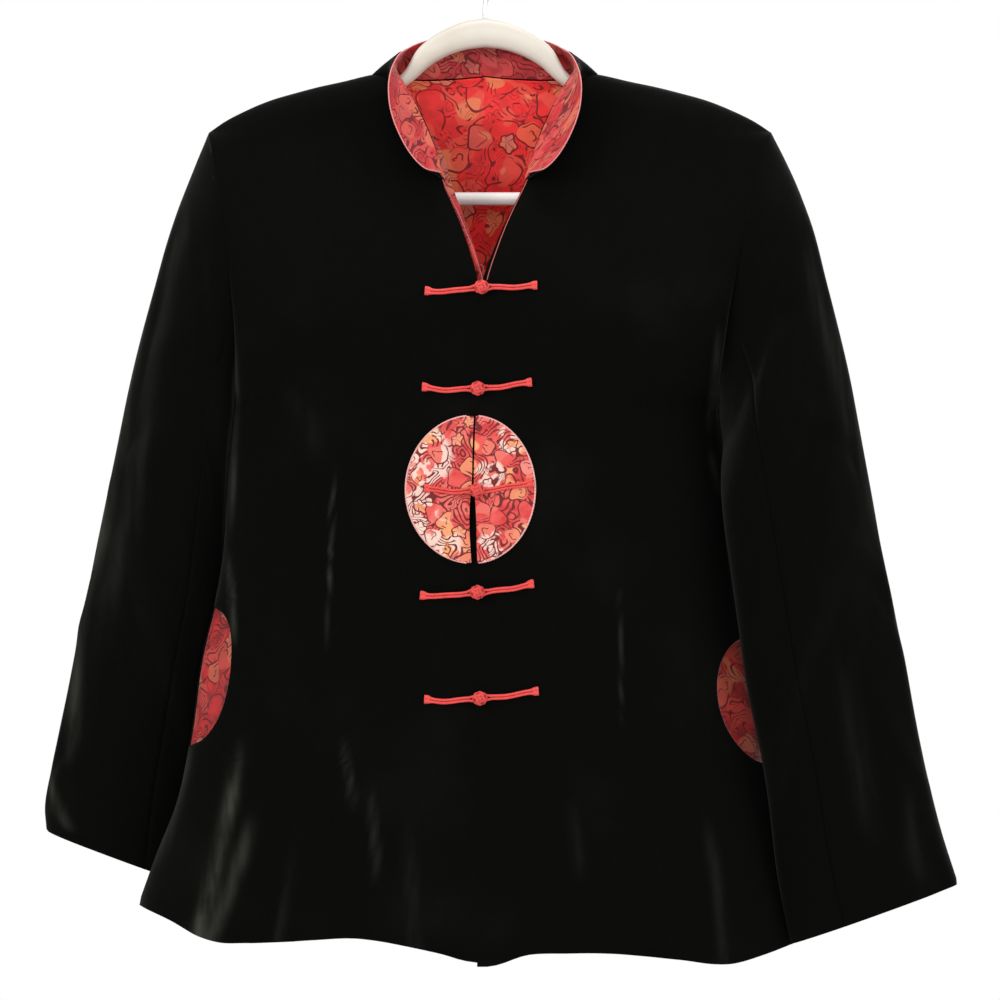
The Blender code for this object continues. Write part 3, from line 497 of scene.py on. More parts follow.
# Finer creases, each from one point to another with a bow in millimetres, a spread and a height.
LINE = "x0 drop0 x1 drop1 bow spread height"
CREASES = {
    FRONT: table(
        LINE,
        (-109.8, 366, -112.8, 503, 1, 1.8, -1.3), (-112.8, 500, -114.2, 558, 0.5, 1.9, -1.1),
        (91.4, 402, 96.5, 520, -1, 1.8, -1.3), (96.5, 516, 104.7, 588, 0.5, 1.9, -1.1),
        (-184, 604, -211, 722, 3, 6.5, 4.2), (-160, 640, -176, 740, -3, 8, -2.6),
        (-132, 612, -138, 735, 2, 9, 2.2), (-101, 596, -100, 640, 1, 2.6, 1.6),
        (-76, 640, -72, 738, 3, 9, -1.9), (-28, 652, -24, 745, -2, 7, 1.6), (-14, 610, -10, 690, 2, 5, -1),
        (34, 640, 40, 742, 3, 8, 1.8), (98, 630, 108, 741, -4, 9, 2.6), (150, 610, 170, 745, 4, 8, -2.8),
        (196, 640, 218, 735, -3, 6, 3), (212, 670, 228, 716, 2, 4, -1.6), (-176, 218, -128, 312, 9, 6.5, -2),
        (-170, 262, -112, 352, 12, 8, 1.8), (-174, 330, -98, 372, -8, 6, -1.6),
        (-178, 356, -126, 398, -6, 4.5, 1.3), (172, 214, 126, 300, -8, 6, -2),
        (168, 250, 104, 352, -12, 8, 1.7), (166, 326, 96, 366, 7, 6, -1.7), (170, 352, 120, 392, 5, 4.5, 1.4),
        (-186, 424, -120, 440, 5, 5.5, 1.3), (-188, 446, -132, 470, -4, 5, -1.2),
        (180, 430, 122, 442, -5, 5.5, 1.3), (184, 452, 136, 480, 4, 5, -1.3),
        (-84, 128, -58, 232, -8, 7, -1.4), (-104, 140, -96, 214, 5, 9, 1.2), (82, 130, 56, 226, 8, 7, -1.4),
        (112, 142, 100, 222, -5, 9, 1.1), (-44, 262, -74, 276, 2, 4, 0.9), (40, 259, 70, 270, -2, 4, 0.9),
        (-46, 336, -78, 330, 2, 4, -0.8), (35, 331, 66, 324, -2, 4, -0.8), (-50, 486, -84, 500, 2, 4.5, 0.9),
        (38, 478, 74, 492, -2, 4.5, 0.9), (-46, 562, -72, 584, 2, 5, -1), (40, 556, 70, 580, -2, 5, -1),
        (-20, 372, -30, 300, 2, 8, 0.8), (14, 470, 20, 540, 2, 8, 0.9), (-192, 500, -170, 548, 5, 5, -1.4),
        (186, 520, 168, 566, -5, 5, -1.4),
    ),
    BACK: table(
        LINE,
        (0, 110, -5, 735, 0, 1.8, -1.5), (-84, 122, -52, 250, 10, 8, -1.8), (86, 124, 58, 262, -10, 8, -1.8),
        (-40, 140, 38, 150, 14, 9, -1.5), (-60, 172, 52, 180, 16, 11, 1.4),
        (-176, 210, -124, 330, 12, 8, -2.4), (-170, 250, -96, 380, 14, 9, 2.1),
        (174, 214, 122, 326, -12, 8, -2.4), (168, 262, 100, 372, -12, 9, 2), (-184, 400, -96, 432, 8, 7, 1.8),
        (-186, 436, -108, 470, -6, 6, -1.8), (182, 398, 90, 436, -8, 7, 1.8),
        (186, 440, 112, 474, 6, 6, -1.7), (-60, 420, 52, 414, 5, 8, 1.3), (-48, 452, 60, 446, -6, 7, -1.3),
        (-196, 560, -218, 722, 4, 9, 3.4), (-160, 600, -172, 735, -4, 9, -3),
        (-92, 580, -96, 735, 5, 10, -2.4), (-72, 620, -80, 735, -3, 7, 2.2), (-20, 600, -24, 735, 3, 8, 2),
        (24, 628, 26, 735, -3, 8, -1.9), (84, 600, 92, 735, 4, 9, -2.2), (152, 590, 168, 735, -5, 10, 3.2),
        (196, 600, 222, 728, 4, 8, -2.8), (-112, 372, -108, 540, 1, 1.9, -1.2),
        (104, 372, 102, 540, -1, 1.9, -1.2),
    ),
}


# Painted highlights: where the velvet's colour is lightened in place of sheen along its folds, written like
# the creases.
PAINTED_SHEEN = {
    FRONT: table(
        LINE,
        (-176, 584, -208, 728, 2, 4.5, 1), (-168, 640, -198, 730, 2, 5, 0.5),
        (-214, 590, -242, 690, -3, 5, 0.6), (-182.8, 296, -186.5, 446, 1, 2.2, 0.55),
        (-190, 452, -183, 528, 1, 2.4, 0.5), (-109.8, 380, -115.7, 532, 0.5, 0.9, 0.6),
        (-104, 586, -94, 646, 0, 2.2, 0.32), (-84, 620, -78, 700, 1, 2.6, 0.24),
        (98, 470, 99.5, 590, 0, 0.9, 0.3), (171, 286, 162.5, 372, 1, 2.2, 0.45),
        (163.5, 376, 172, 420, 1, 2.2, 0.35), (175, 420, 187, 524, 1, 2.2, 0.42),
        (-60, 640, -52, 730, 2, 4, 0.1), (60, 630, 70, 700, 2, 4, 0.07), (158, 640, 172, 738, 3, 4, 0.12),
        (-150, 330, -118, 392, 5, 7, 0.06), (-140, 660, -150, 734, 2, 3, 0.12),
    ),
    BACK: table(
        LINE,
        (-176, 560, -206, 728, 3, 5, 0.6), (-92, 560, -98, 726, 3, 5, 0.35), (0, 150, -3, 560, 0, 1.2, 0.35),
        (60, 540, 72, 728, 3, 6, 0.35), (152, 560, 176, 728, 4, 5, 0.5), (-170, 240, -110, 350, 12, 7, 0.3),
        (168, 240, 112, 352, -12, 7, 0.3), (-60, 160, 56, 166, 16, 8, 0.2),
    ),
}


def creases(across, down, rows):
    """The height of soft creases over a point. Each bows along its line."""
    total = np.zeros(np.broadcast(across, down).shape)
    for x0, down0, x1, down1, bow, spread, height in zip(*rows.values()):
        length = math.hypot(x1 - x0, down1 - down0)
        way_x, way_down = (x1 - x0) / length, (down1 - down0) / length
        share = ((across - x0) * way_x + (down - down0) * way_down) / length
        inside = np.clip(share, 0, 1)
        off = (across - x0) * way_down - (down - down0) * way_x - bow * np.sin(math.pi * inside)
        total += height * fading(share, down1, 2.2) * np.exp(-((off / spread) ** 2))
    return total


def rumples(x, drop):
    """Slow unevenness all over hanging cloth, under a millimetre."""
    slow = np.sin(x / 31 + 1.7 * np.sin(drop / 67)) * np.sin(drop / 53 + 1.1 * np.sin(x / 47))
    quick = np.sin(x / 13 + 2.1 * np.sin(drop / 29)) * np.sin(drop / 37 + 0.8 + np.sin(x / 19))
    return 0.55 * slow + 0.22 * quick


def body_y(x, drop, face):
    """The body's outer surface over a point of the front view."""
    x, drop = np.broadcast_arrays(np.asarray(x, float), np.asarray(drop, float))
    middle = centre_x(drop)
    width = np.where(x < middle, side_x(drop, RIGHT) + middle, side_x(drop, LEFT) - middle)
    t = np.clip(np.abs(x - middle) / width, 0, 1)
    swell = np.sqrt(np.clip(1 - t ** along(drop, ROUNDING["drop"], ROUNDING["power"]), 0, 1))
    below = np.clip(drop - shoulder_drop(x), 0, None)
    roll = SHOULDER_ROLL[face]
    over = roll * np.sqrt(1 - (1 - np.clip(below / roll, 0, 1)) ** 2)
    growth = np.clip(below / FULL_BELOW, 0, 1)
    full = along(drop, DEPTH["drop"], DEPTH["front" if face == FRONT else "back"])
    fine = creases(x, drop, CREASES[face]) + rumples(x, drop)
    folded = folds(x, drop, face) * (1 - t**6) + fine * (1 - t**4) * np.clip(below / 30, 0, 1)
    depth = over + (full - roll) * growth * growth * (3 - 2 * growth) + folded
    ring = np.sqrt(np.clip(1 - ((drop - ARMHOLE_MID) / ARMHOLE_HALF) ** 2, 0, 1))
    edge = ARMHOLE_DEPTH[face] * ring
    return face * (edge + (depth - edge) * swell)


def unit(vectors):
    """The same directions, each of length 1."""
    return vectors / (np.linalg.norm(vectors, axis=-1, keepdims=True) + 1e-9)


def outward(grid, middle, ring=False):
    """Unit normals of a grid of points, pointing away from the middle. A ring's columns meet."""
    rows = np.gradient(grid, axis=0)
    columns = (np.roll(grid, -1, axis=1) - np.roll(grid, 1, axis=1)) if ring else np.gradient(grid, axis=1)
    normal = unit(np.cross(rows, columns))
    return normal * np.sign(np.sum(normal * (grid - middle)))


def xyz(x, y, drop):
    return np.stack(np.broadcast_arrays(np.asarray(x, float), y, -np.asarray(drop, float)), axis=-1)


def run(grid, axis, keep):
    """How far each point lies along its row or column, counting only the kept directions."""
    steps = np.linalg.norm(np.diff(grid[..., keep], axis=axis), axis=-1)
    start = np.zeros_like(np.take(steps, [0], axis=axis))
    return np.concatenate([start, np.cumsum(steps, axis=axis)], axis=axis)


def flat_panel(grid):
    """Where a body panel's points lie on its flat cloth."""
    across_cloth = grid[:, :1, 0] + np.sign(grid[:, -1:, 0] - grid[:, :1, 0]) * run(grid, 1, [0, 1])
    down_cloth = -grid[:1, :, 2] + run(grid, 0, [1, 2])
    return np.stack([across_cloth, -down_cloth], axis=-1)


def flat_tube(grid):
    """Where a sleeve's or collar's points lie on its flat cloth."""
    return np.stack([run(grid, 1, [0, 1, 2]), -run(grid, 0, [0, 1, 2])], axis=-1)


SHARP = math.radians(50)  # an edge that turns more than this isn't shaded smooth


def add_piece(name, points, faces, finishes, nodes=(), sides=None, flat=None, laid=None):
    """A named mesh, its points in millimetres, riding with the jacket in place of its plain solids."""
    points = np.asarray(points, float) * MM
    fans = [(f[0], f[i], f[i + 1]) for f in faces for i in range(1, len(f) - 1)]
    a, b, c = (points[[fan[i] for fan in fans]] for i in range(3))
    if np.sum(a * np.cross(b, c)) < 0:
        faces = [f[::-1] for f in faces]
    mesh = bpy.data.meshes.new(name)
    mesh.from_pydata(points.tolist(), [], faces)
    for finish in finishes:
        mesh.materials.append(finish.made)
    if sides is not None:
        mesh.polygons.foreach_set("material_index", sides)
    if flat is not None:
        layer = mesh.uv_layers.new(name="cloth")
        corners = np.empty(len(mesh.loops), int)
        mesh.loops.foreach_get("vertex_index", corners)
        layer.data.foreach_set("uv", (flat[corners] * MM).ravel())
    if laid is not None:
        mesh.attributes.new("laid", "FLOAT", "POINT").data.foreach_set("value", laid)
    mesh.shade_smooth()
    mesh.set_sharp_from_angle(angle=SHARP)
    made = bpy.data.objects.new(name, mesh)
    bpy.context.scene.collection.objects.link(made)
    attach(made, "root")
    if nodes:
        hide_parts(*nodes)
    return made


def grid_faces(rows, columns, ring=False):
    """The faces of a grid of points. A ring's last column meets its first."""
    last = columns if ring else columns - 1
    corners = ((0, 0), (0, 1), (1, 1), (1, 0))
    return [
        tuple((i + down) * columns + (j + over) % columns for down, over in corners)
        for i in range(rows - 1) for j in range(last)
    ]


RIM_ROLL, SEAM_ROLL = 0.42, 0.12  # of the wall's thickness, that its face rolls in at a rim and at a seam


def cloth_wall(name, outer, inner, finishes, nodes, flat, rolls=None, laid=None, ring=False):
    """A wall of cloth between two grids of points. Its finishes are outside and inside, rolls says how
    far its face rolls in at each point of its rims, and its painted sheen how strongly a painted
    highlight lightens the velvet at each point. The columns of a ring meet."""
    rows, columns = outer.shape[:2]
    if rolls is None:
        rolls = np.zeros((rows, columns))
        rolls[[0, -1]] = RIM_ROLL
        if not ring:
            rolls[:, [0, -1]] = RIM_ROLL
    thick = inner - outer
    outer, inner = outer + rolls[..., None] * thick, inner - 0.5 * rolls[..., None] * thick
    count = rows * columns
    outside = grid_faces(rows, columns, ring)
    inside = [tuple(count + k for k in face[::-1]) for face in outside]
    top, bottom = list(range(columns)), [(rows - 1) * columns + j for j in range(columns - 1, -1, -1)]
    if ring:
        edges = [top, bottom]
    else:
        down = [i * columns + columns - 1 for i in range(1, rows - 1)]
        edges = [top + down + bottom + [i * columns for i in range(rows - 2, 0, -1)]]
    around = [pair for edge in edges for pair in zip(edge, edge[1:] + edge[:1])]
    border = [(a, count + a, count + b, b)[::-1] for a, b in around]
    faces = outside + inside + border
    sides = [0] * len(outside) + [1] * len(inside) + [0] * len(border)
    points = np.concatenate([outer.reshape(-1, 3), inner.reshape(-1, 3)])
    on_cloth = np.concatenate([flat.reshape(-1, 2)] * 2)
    laid = None if laid is None else np.concatenate([laid.ravel()] * 2)
    return add_piece(name, points, faces, finishes, nodes, sides, on_cloth, laid)


FINER = 4  # times as many rows of points as the plain solids have
ARMHOLE_ROWS = 10 * FINER + 1
POCKETS = {
    RIGHT: dict(top=497.0, end=597.0, width=24.0, cloth=0.0038),
    LEFT: dict(top=517.0, end=612.0, width=34.0, cloth=0.0046),
}  # cloth is in square metres
POCKET_MARGIN = 4.0  # above and below a pocket, where the rows of points are close
BODY_MIDDLE = np.array([0, 0, -440.0])
FRONT_COLUMNS = 79


def pocket_scoop(drop, side):
    """How far a front's side edge is cut back for the half-moon pocket."""
    pocket = POCKETS[side]
    middle, half = (pocket["top"] + pocket["end"]) / 2, (pocket["end"] - pocket["top"]) / 2
    return pocket["width"] * np.sqrt(np.clip(1 - ((drop - middle) / half) ** 2, 0, 1))


def side_drops(side):
    """Rows down the armhole, evenly round its ring, and down the side seam, close at the pocket."""
    ring = ARMHOLE_MID - ARMHOLE_HALF * np.cos(np.linspace(0, np.pi, ARMHOLE_ROWS))
    top, end = POCKETS[side]["top"] - POCKET_MARGIN, POCKETS[side]["end"] + POCKET_MARGIN
    corner = HEM["drop"][0 if side == RIGHT else -1]
    seam = np.concatenate([
        np.linspace(ARMPIT, top, 5 * FINER)[1:], np.linspace(top, end, 10 * FINER)[1:],
        np.linspace(end, corner, 5 * FINER)[1:],
    ])
    return np.concatenate([ring, seam])


def across(inner_x, inner_drop, outer_x, outer_drop, top, bottom, columns):
    """A grid between a panel's inner and outer edges, bent to the given top and bottom lines."""
    share = np.sin(np.linspace(0, np.pi / 2, columns)) ** 0.9
    x = inner_x[:, None] + (outer_x - inner_x)[:, None] * share
    drop = inner_drop[:, None] + (outer_drop - inner_drop)[:, None] * share
    down = np.linspace(0, 1, len(inner_x))[:, None]
    return x, drop + (1 - down) ** 3 * (top(x[:1]) - drop[:1]) + down**3 * (bottom(x[-1:]) - drop[-1:])


def body_wall(outer, face):
    """The inner points of a body panel, kept on its own side of the shoulder and side seams."""
    inner = outer - WALL * outward(outer, BODY_MIDDLE)
    for layer in (outer, inner):
        layer[..., 1] = face * np.maximum(face * layer[..., 1], SEAM / 2)
    return inner


def seam_to_sleeve(inner, column, side):
    """Brings a panel's inner edge at the armhole onto the armhole's own surface."""
    ring = slice(0, ARMHOLE_ROWS - 1)
    inner[ring, column, 0] = side * (side_x(-inner[ring, column, 2], side) - SEAM / 2)


def neck_rows():
    """The drops of a front's inner edge: the neck seam, the V, then the centre front to the hem."""
    over_shoulder = 1 - np.cos(np.linspace(0, np.pi / 2, 7 * FINER + 1))
    neck = NECK_SIDE_DROP + (COLLAR_END - NECK_SIDE_DROP) * over_shoulder
    neck = np.concatenate([neck, np.linspace(COLLAR_END, V_END, 4 * FINER)[1:]])
    hem = float(hem_drop(np.array(centre_x(CENTRE["drop"][-1])), FRONT))
    rest = len(side_drops(RIGHT)) + 1 - len(neck)
    return np.concatenate([neck, np.linspace(V_END, hem, rest)[1:]])


def front_panel(side):
    """A front's outer points, inner points, and its side edge's drops."""
    inner_drop = neck_rows()
    half = np.where(inner_drop < V_END, along(inner_drop, NECK["drop"], NECK["half"]), 0)
    inner_x = centre_x(inner_drop) * (inner_drop > COLLAR_END) + side * half
    outer_drop = side_drops(side)
    scoop = pocket_scoop(outer_drop, side)
    reach = side_x(outer_drop, side) - scoop
    reach[:ARMHOLE_ROWS] -= SEAM / 2
    step = HEM_STEP * (side == LEFT)
    x, drop = across(
        inner_x, inner_drop, side * reach, outer_drop, shoulder_drop,
        lambda v: hem_drop(v, FRONT) + step * np.exp(-(((v - inner_x[-1]) / STEP_FADE) ** 2)), FRONT_COLUMNS,
    )
    outer = xyz(x, body_y(x, drop, FRONT), drop)
    outer[0, :, 1] = -SEAM / 2
    inner = body_wall(outer, FRONT)
    inner[0] = outer[0] - [0, 0, WALL]
    seam_to_sleeve(inner, -1, side)
    plain = (outer_drop >= ARMPIT) & (scoop == 0)
    inner[plain, -1] = outer[plain, -1] - [side * WALL, 0, 0]
    inner[:, 0, 0] = outer[:, 0, 0]
    rolls = np.zeros(outer.shape[:2])
    rolls[0] = rolls[:, -1] = SEAM_ROLL
    rolls[scoop > 0, -1] = rolls[-1] = rolls[:, 0] = RIM_ROLL
    return outer, inner, scoop > 0, rolls


pocket_edges = {}
for side, word in SIDES.items():
    outer, inner, cut_back, rolls = front_panel(side)
    pocket_edges[side] = outer[cut_back, -1], inner[cut_back, -1]
    panel = cloth_wall(
        f"front_{word}_velvet", outer, inner, (velvet, lining_brocade), [f"front_{word}"],
        flat_panel(outer), rolls, creases(outer[..., 0], -outer[..., 2], PAINTED_SHEEN[FRONT]),
    )

# The back: one panel with its centre seam closed, from the shoulder seams and the shallow curve of
# the back neck to a plain hem, joined to the fronts at the side seams.

BACK_COLUMNS = 75
BACK_NECK_DIP = 3.0


def back_top(x):
    """The shoulder seams, with the shallow curve of the back neck between them."""
    dip = BACK_NECK_DIP + NECK_RISE * NECK_SIDE
    return shoulder_drop(x) + dip * np.sqrt(np.clip(1 - (x / NECK_SIDE) ** 2, 0, 1))


def back_panel():
    """The back's outer and inner points, its two halves joined at the centre."""
    halves = {}
    for side in (RIGHT, LEFT):
        outer_drop = side_drops(side)
        top = float(back_top(np.array(0.0)))
        ring = top + (ARMPIT - top) * (outer_drop[:ARMHOLE_ROWS] - SHOULDER_TIP) / (ARMPIT - SHOULDER_TIP)
        below = np.linspace(ARMPIT, BACK_HEM, len(outer_drop) - ARMHOLE_ROWS + 1)[1:]
        middle_drop = np.concatenate([ring, below])
        reach = side_x(outer_drop, side)
        reach[:ARMHOLE_ROWS] -= SEAM / 2
        halves[side] = across(
            centre_x(middle_drop), middle_drop, side * reach, outer_drop,
            back_top, lambda v: hem_drop(v, BACK), BACK_COLUMNS,
        )
    x = np.concatenate([halves[RIGHT][0][:, :0:-1], halves[LEFT][0]], axis=1)
    drop = np.concatenate([halves[RIGHT][1][:, :0:-1], halves[LEFT][1]], axis=1)
    outer = xyz(x, body_y(x, drop, BACK), drop)
    on_shoulder = np.abs(x[0]) >= NECK_SIDE - 4
    outer[0, on_shoulder, 1] = SEAM / 2
    inner = body_wall(outer, BACK)
    inner[0, on_shoulder] = outer[0, on_shoulder] - [0, 0, WALL]
    seam_to_sleeve(inner, 0, RIGHT)
    seam_to_sleeve(inner, -1, LEFT)
    low = -outer[:, 0, 2] >= ARMPIT
    inner[low, 0] = outer[low, 0] + [WALL, 0, 0]
    inner[low, -1] = outer[low, -1] - [WALL, 0, 0]
    return outer, inner


outer, inner = back_panel()
rolls = np.zeros(outer.shape[:2])
rolls[0] = np.where(np.abs(outer[0, :, 0]) < NECK_SIDE, 0, SEAM_ROLL)
rolls[:, [0, -1]] = SEAM_ROLL
rolls[-1] = RIM_ROLL
panel = cloth_wall(
    "back_velvet", outer, inner, (velvet, lining_brocade), ["back"], flat_panel(outer), rolls,
    creases(outer[..., 0], -outer[..., 2], PAINTED_SHEEN[BACK]),
)

# The sleeves: each is an upper and an under piece of velvet with brocade inside, sewn along two seams
# and into the armhole. The wearer's right one hangs behind the body's side, the left in front of it.

# Each row is one section: its outer and inner ends in the front view, and its reach in front and behind.
SLEEVES = {
    RIGHT: table(
        "out_x out_drop in_x in_drop middle_y front back",
        (203.4, 146, 184, 343.5, 0, 43, 38), (217.4, 181.4, 183.6, 362, 3, 43, 41),
        (226.3, 203.5, 186, 385, 7, 43, 42), (238.8, 240.4, 187, 412, 12, 43, 42),
        (255, 299.3, 187.5, 440, 17, 42, 42), (269, 362, 187.5, 472, 22, 40, 40),
        (284, 432, 190, 512, 27, 37, 37), (297, 493, 197, 552, 31, 33, 33),
        (310.5, 564.6, 204, 598, 34, 29, 29), (321.5, 612, 210, 640, 36, 26, 26),
        (327.5, 643, 214, 680, 37, 24, 24), (326.5, 663, 217, 703, 37, 23, 23),
    ),
    LEFT: table(
        "out_x out_drop in_x in_drop middle_y front back",
        (210.8, 146, 172, 343.5, 0, 43, 38), (227, 181.4, 172.4, 362, -6, 42, 38),
        (238, 211, 174.5, 378, -14, 40, 38), (246.2, 240.4, 173, 395, -23, 39, 38),
        (258, 289, 173, 414, -29, 38, 38), (269.7, 343.5, 175, 436, -31, 38, 38),
        (280.8, 402.5, 179, 465, -33, 37, 37), (291.9, 461.5, 184.5, 504, -35, 34, 34),
        (303.6, 520.4, 191, 552, -36, 31, 31), (318, 594, 205, 622, -37, 28, 28),
        (331, 648, 213, 687, -38, 25, 25), (346.4, 697.3, 222.6, 741.5, -38, 23, 23),
    ),
}
LIES = {RIGHT: BACK, LEFT: FRONT}  # one sleeve hangs behind the body's side, the other in front of it
SLEEVE_CLEAR = 4.0  # from the body's face to the sleeve's, where one lies over the other
OVERLAP_MARGIN = 0.3
PARTING = 10.0  # above the armpit, where a sleeve begins to part from the body
SLEEVE_RINGS = 133
SEAM_ANGLE = math.radians(112)  # from the outer edge round to each of the two seams
SEAM_TURN = 0.02  # half the width of a seam's groove, as an angle
SEAM_SUNK = 0.9

# Creases on a sleeve: x is in millimetres round it from its outer edge towards the front, drop from its top.
SLEEVE_CREASES = {
    RIGHT: table(
        LINE,
        (14, 40, 9, 560, 6, 7, 2.6), (30, 60, 26, 420, -5, 9, -2.2), (46, 90, 40, 520, 5, 9, 1.6),
        (62, 40, 20, 170, 10, 8, -2.6), (70, 90, 22, 230, 12, 8, 2), (60, 210, 8, 300, 8, 7, -1.9),
        (58, 270, 10, 322, -8, 6, 1.7), (54, 300, 4, 372, -6, 6.5, -1.6), (48, 352, -4, 410, 7, 7, 1.5),
        (44, 420, 2, 520, 6, 7, -1.5), (20, 470, 24, 575, 3, 6, 1.4), (-14, 60, -20, 540, -6, 9, -2.2),
        (-34, 50, -38, 480, 5, 10, 2.2), (-62, 60, -18, 190, -9, 8, 2), (-58, 180, -12, 290, -8, 7, -1.9),
        (-52, 290, -8, 360, 6, 7, 1.8), (-46, 380, -10, 500, -5, 8, -1.6),
    ),
    LEFT: table(
        LINE,
        (78, 120, 66, 300, 6, 7, 2.8), (66, 60, 52, 330, -8, 8, -2.4), (50, 90, 44, 600, 6, 9, 1.8),
        (30, 60, 22, 430, -6, 9, -1.9), (12, 50, 8, 590, 5, 8, 1.8), (76, 60, 26, 200, 10, 8, -2.4),
        (72, 210, 20, 300, 9, 7, 1.9), (66, 262, 14, 340, -8, 6.5, -1.8), (62, 330, 12, 392, 7, 6.5, 1.7),
        (56, 370, 2, 450, -6, 7, -1.6), (50, 450, 4, 540, 6, 7, 1.5), (30, 500, 26, 640, 4, 7, -1.6),
        (-14, 60, -18, 560, -6, 9, -2.2), (-34, 60, -36, 500, 5, 10, 2.2), (-60, 70, -16, 200, -9, 8, 2),
        (-56, 200, -12, 300, -8, 7, -1.9), (-50, 310, -8, 380, 6, 7, 1.8), (-44, 400, -10, 520, -5, 8, -1.6),
    ),
}
# Painted highlights on each sleeve, where its colour is lightened in place of sheen, written like its
# creases.
SLEEVE_PAINTED_SHEEN = {
    RIGHT: table(
        LINE,
        (6, 150, 12, 480, 4, 8, 0.6), (4, 500, 40, 590, 5, 6, 0.6), (14, 400, 30, 500, 4, 6, 0.45),
        (22, 60, 18, 200, 4, 7, 0.2), (40, 200, 36, 420, 4, 8, 0.12), (-24, 80, -28, 520, 5, 8, 0.35),
    ),
    LEFT: table(
        LINE,
        (6, 420, 8, 620, 3, 5, 0.3), (34, 520, 44, 600, 3, 5, 0.1), (24, 100, 20, 330, 5, 8, 0.15),
        (12, 180, 10, 420, 3, 7, 0.2), (60, 430, 62, 560, 3, 5, 0.14), (-24, 80, -28, 520, -5, 8, 0.35),
    ),
}
ROUND_RADIUS, RING_APART = 46.0, 55.0  # mean sizes, that turn an angle and a row into millimetres
CREASE_SEAM_FADE = 14.0  # from the armhole down
BODY_FADE = 12.0  # beside the body, where it has no creases
ARMHOLE_SECTIONS = 3  # over so many of its sections it leaves the armhole's own curve
UPPER_COLUMNS, UNDER_COLUMNS = 71, 43


def sleeve_grid(side, angles):
    """The sleeve's outer surface: rings from the armhole to the cuff. Angle 0 is its outer edge."""
    rows = SLEEVES[side]
    order = np.arange(len(rows["out_x"]))
    at = np.linspace(0, order[-1], SLEEVE_RINGS)[:, None]
    out_x, out_drop, in_x, in_drop, middle_y, front, back = (along(at, order, v) for v in rows.values())
    turn = (1 + np.cos(angles)) / 2
    drop = in_drop + (out_drop - in_drop) * turn
    x = in_x + (out_x - in_x) * turn
    # The first ring lies in the armhole's own curve, and the next ones leave it gradually.
    armhole = ARMHOLE_MID - ARMHOLE_HALF * np.cos(angles)
    bow = side_x(armhole, side) + SEAM / 2 - (in_x[0] + (out_x[0] - in_x[0]) * turn)
    x = side * (x + bow * np.clip(1 - at / ARMHOLE_SECTIONS, 0, 1) ** 2)
    sine = np.sin(angles)
    y = middle_y - np.where(sine > 0, front, back) * sine
    way = LIES[side]
    over = (np.abs(x) < side_x(drop, side) + OVERLAP_MARGIN) & (at > 0.2)
    near = body_y(x, drop, way) + way * SLEEVE_CLEAR
    below = np.clip((drop - ARMPIT) / PARTING + 1, 0, 1)
    y = np.where(over, y + below * (way * np.maximum(way * y, way * near) - y), y)
    return xyz(x, y, drop)


def sleeve(side, word):
    """An upper and an under sleeve, sewn to each other along two seams and to the body at the armhole."""
    upper = np.linspace(-SEAM_ANGLE + SEAM_TURN, SEAM_ANGLE - SEAM_TURN, UPPER_COLUMNS)
    under = np.linspace(SEAM_ANGLE + SEAM_TURN, 2 * math.pi - SEAM_ANGLE - SEAM_TURN, UNDER_COLUMNS)
    angles = np.concatenate([upper, [SEAM_ANGLE], under, [2 * math.pi - SEAM_ANGLE]])
    outer = sleeve_grid(side, angles)
    middle = outer.mean(axis=1, keepdims=True)
    out = outward(outer, middle, ring=True)
    down = np.linspace(0, len(SLEEVES[side]["out_x"]) - 1, SLEEVE_RINGS)[:, None] * RING_APART
    round_it = np.where(angles > math.pi, angles - 2 * math.pi, angles)[None, :] * ROUND_RADIUS
    clear = np.clip((np.abs(outer[..., 0]) - side_x(-outer[..., 2], side)) / BODY_FADE, 0, 1)
    fade = np.clip(down / CREASE_SEAM_FADE, 0, 1) * clear
    height = creases(round_it, down, SLEEVE_CREASES[side]) + rumples(round_it * 1.3, down)
    height[:, [len(upper), -1]] -= SEAM_SUNK
    outer = outer + (height * fade)[..., None] * out
    inner = outer - WALL * outward(outer, middle, ring=True)
    nearest = np.abs(outer[..., 0]).min(axis=1, keepdims=True)
    inner[..., 0] = side * np.maximum(np.abs(inner[..., 0]), nearest + WALL)
    round_armhole = [0 * angles, -np.sin(angles) / ARMHOLE_DEPTH[FRONT], np.cos(angles) / ARMHOLE_HALF]
    inner[0] = outer[0] - WALL * unit(np.stack(round_armhole, axis=-1))
    inner[0, :, 0] = side * (side_x(-inner[0, :, 2], side) + SEAM / 2)
    rolls = np.zeros(outer.shape[:2])
    rolls[0], rolls[-1] = SEAM_ROLL, RIM_ROLL
    tube = cloth_wall(
        f"sleeve_{word}_velvet", outer, inner, (velvet, lining_brocade),
        [f"sleeve_{word}_upper", f"sleeve_{word}_under"], flat_tube(outer), rolls,
        creases(round_it, down, SLEEVE_PAINTED_SHEEN[side]), ring=True,
    )


for side, word in SIDES.items():
    sleeve(side, word)

# The mandarin collar: a stiff stand of velvet lined with brocade, open in front, where its two ends
# lean out over the shoulders. A thin piping of pale satin is sewn between the two along its edge.

COLLAR_VELVET = 1.5  # its thickness, stiffened
LINING = 1.2
PIPING = (0.74, 0.25, 0.24)
PIPING_SHADE = (0.50, 0.12, 0.12)

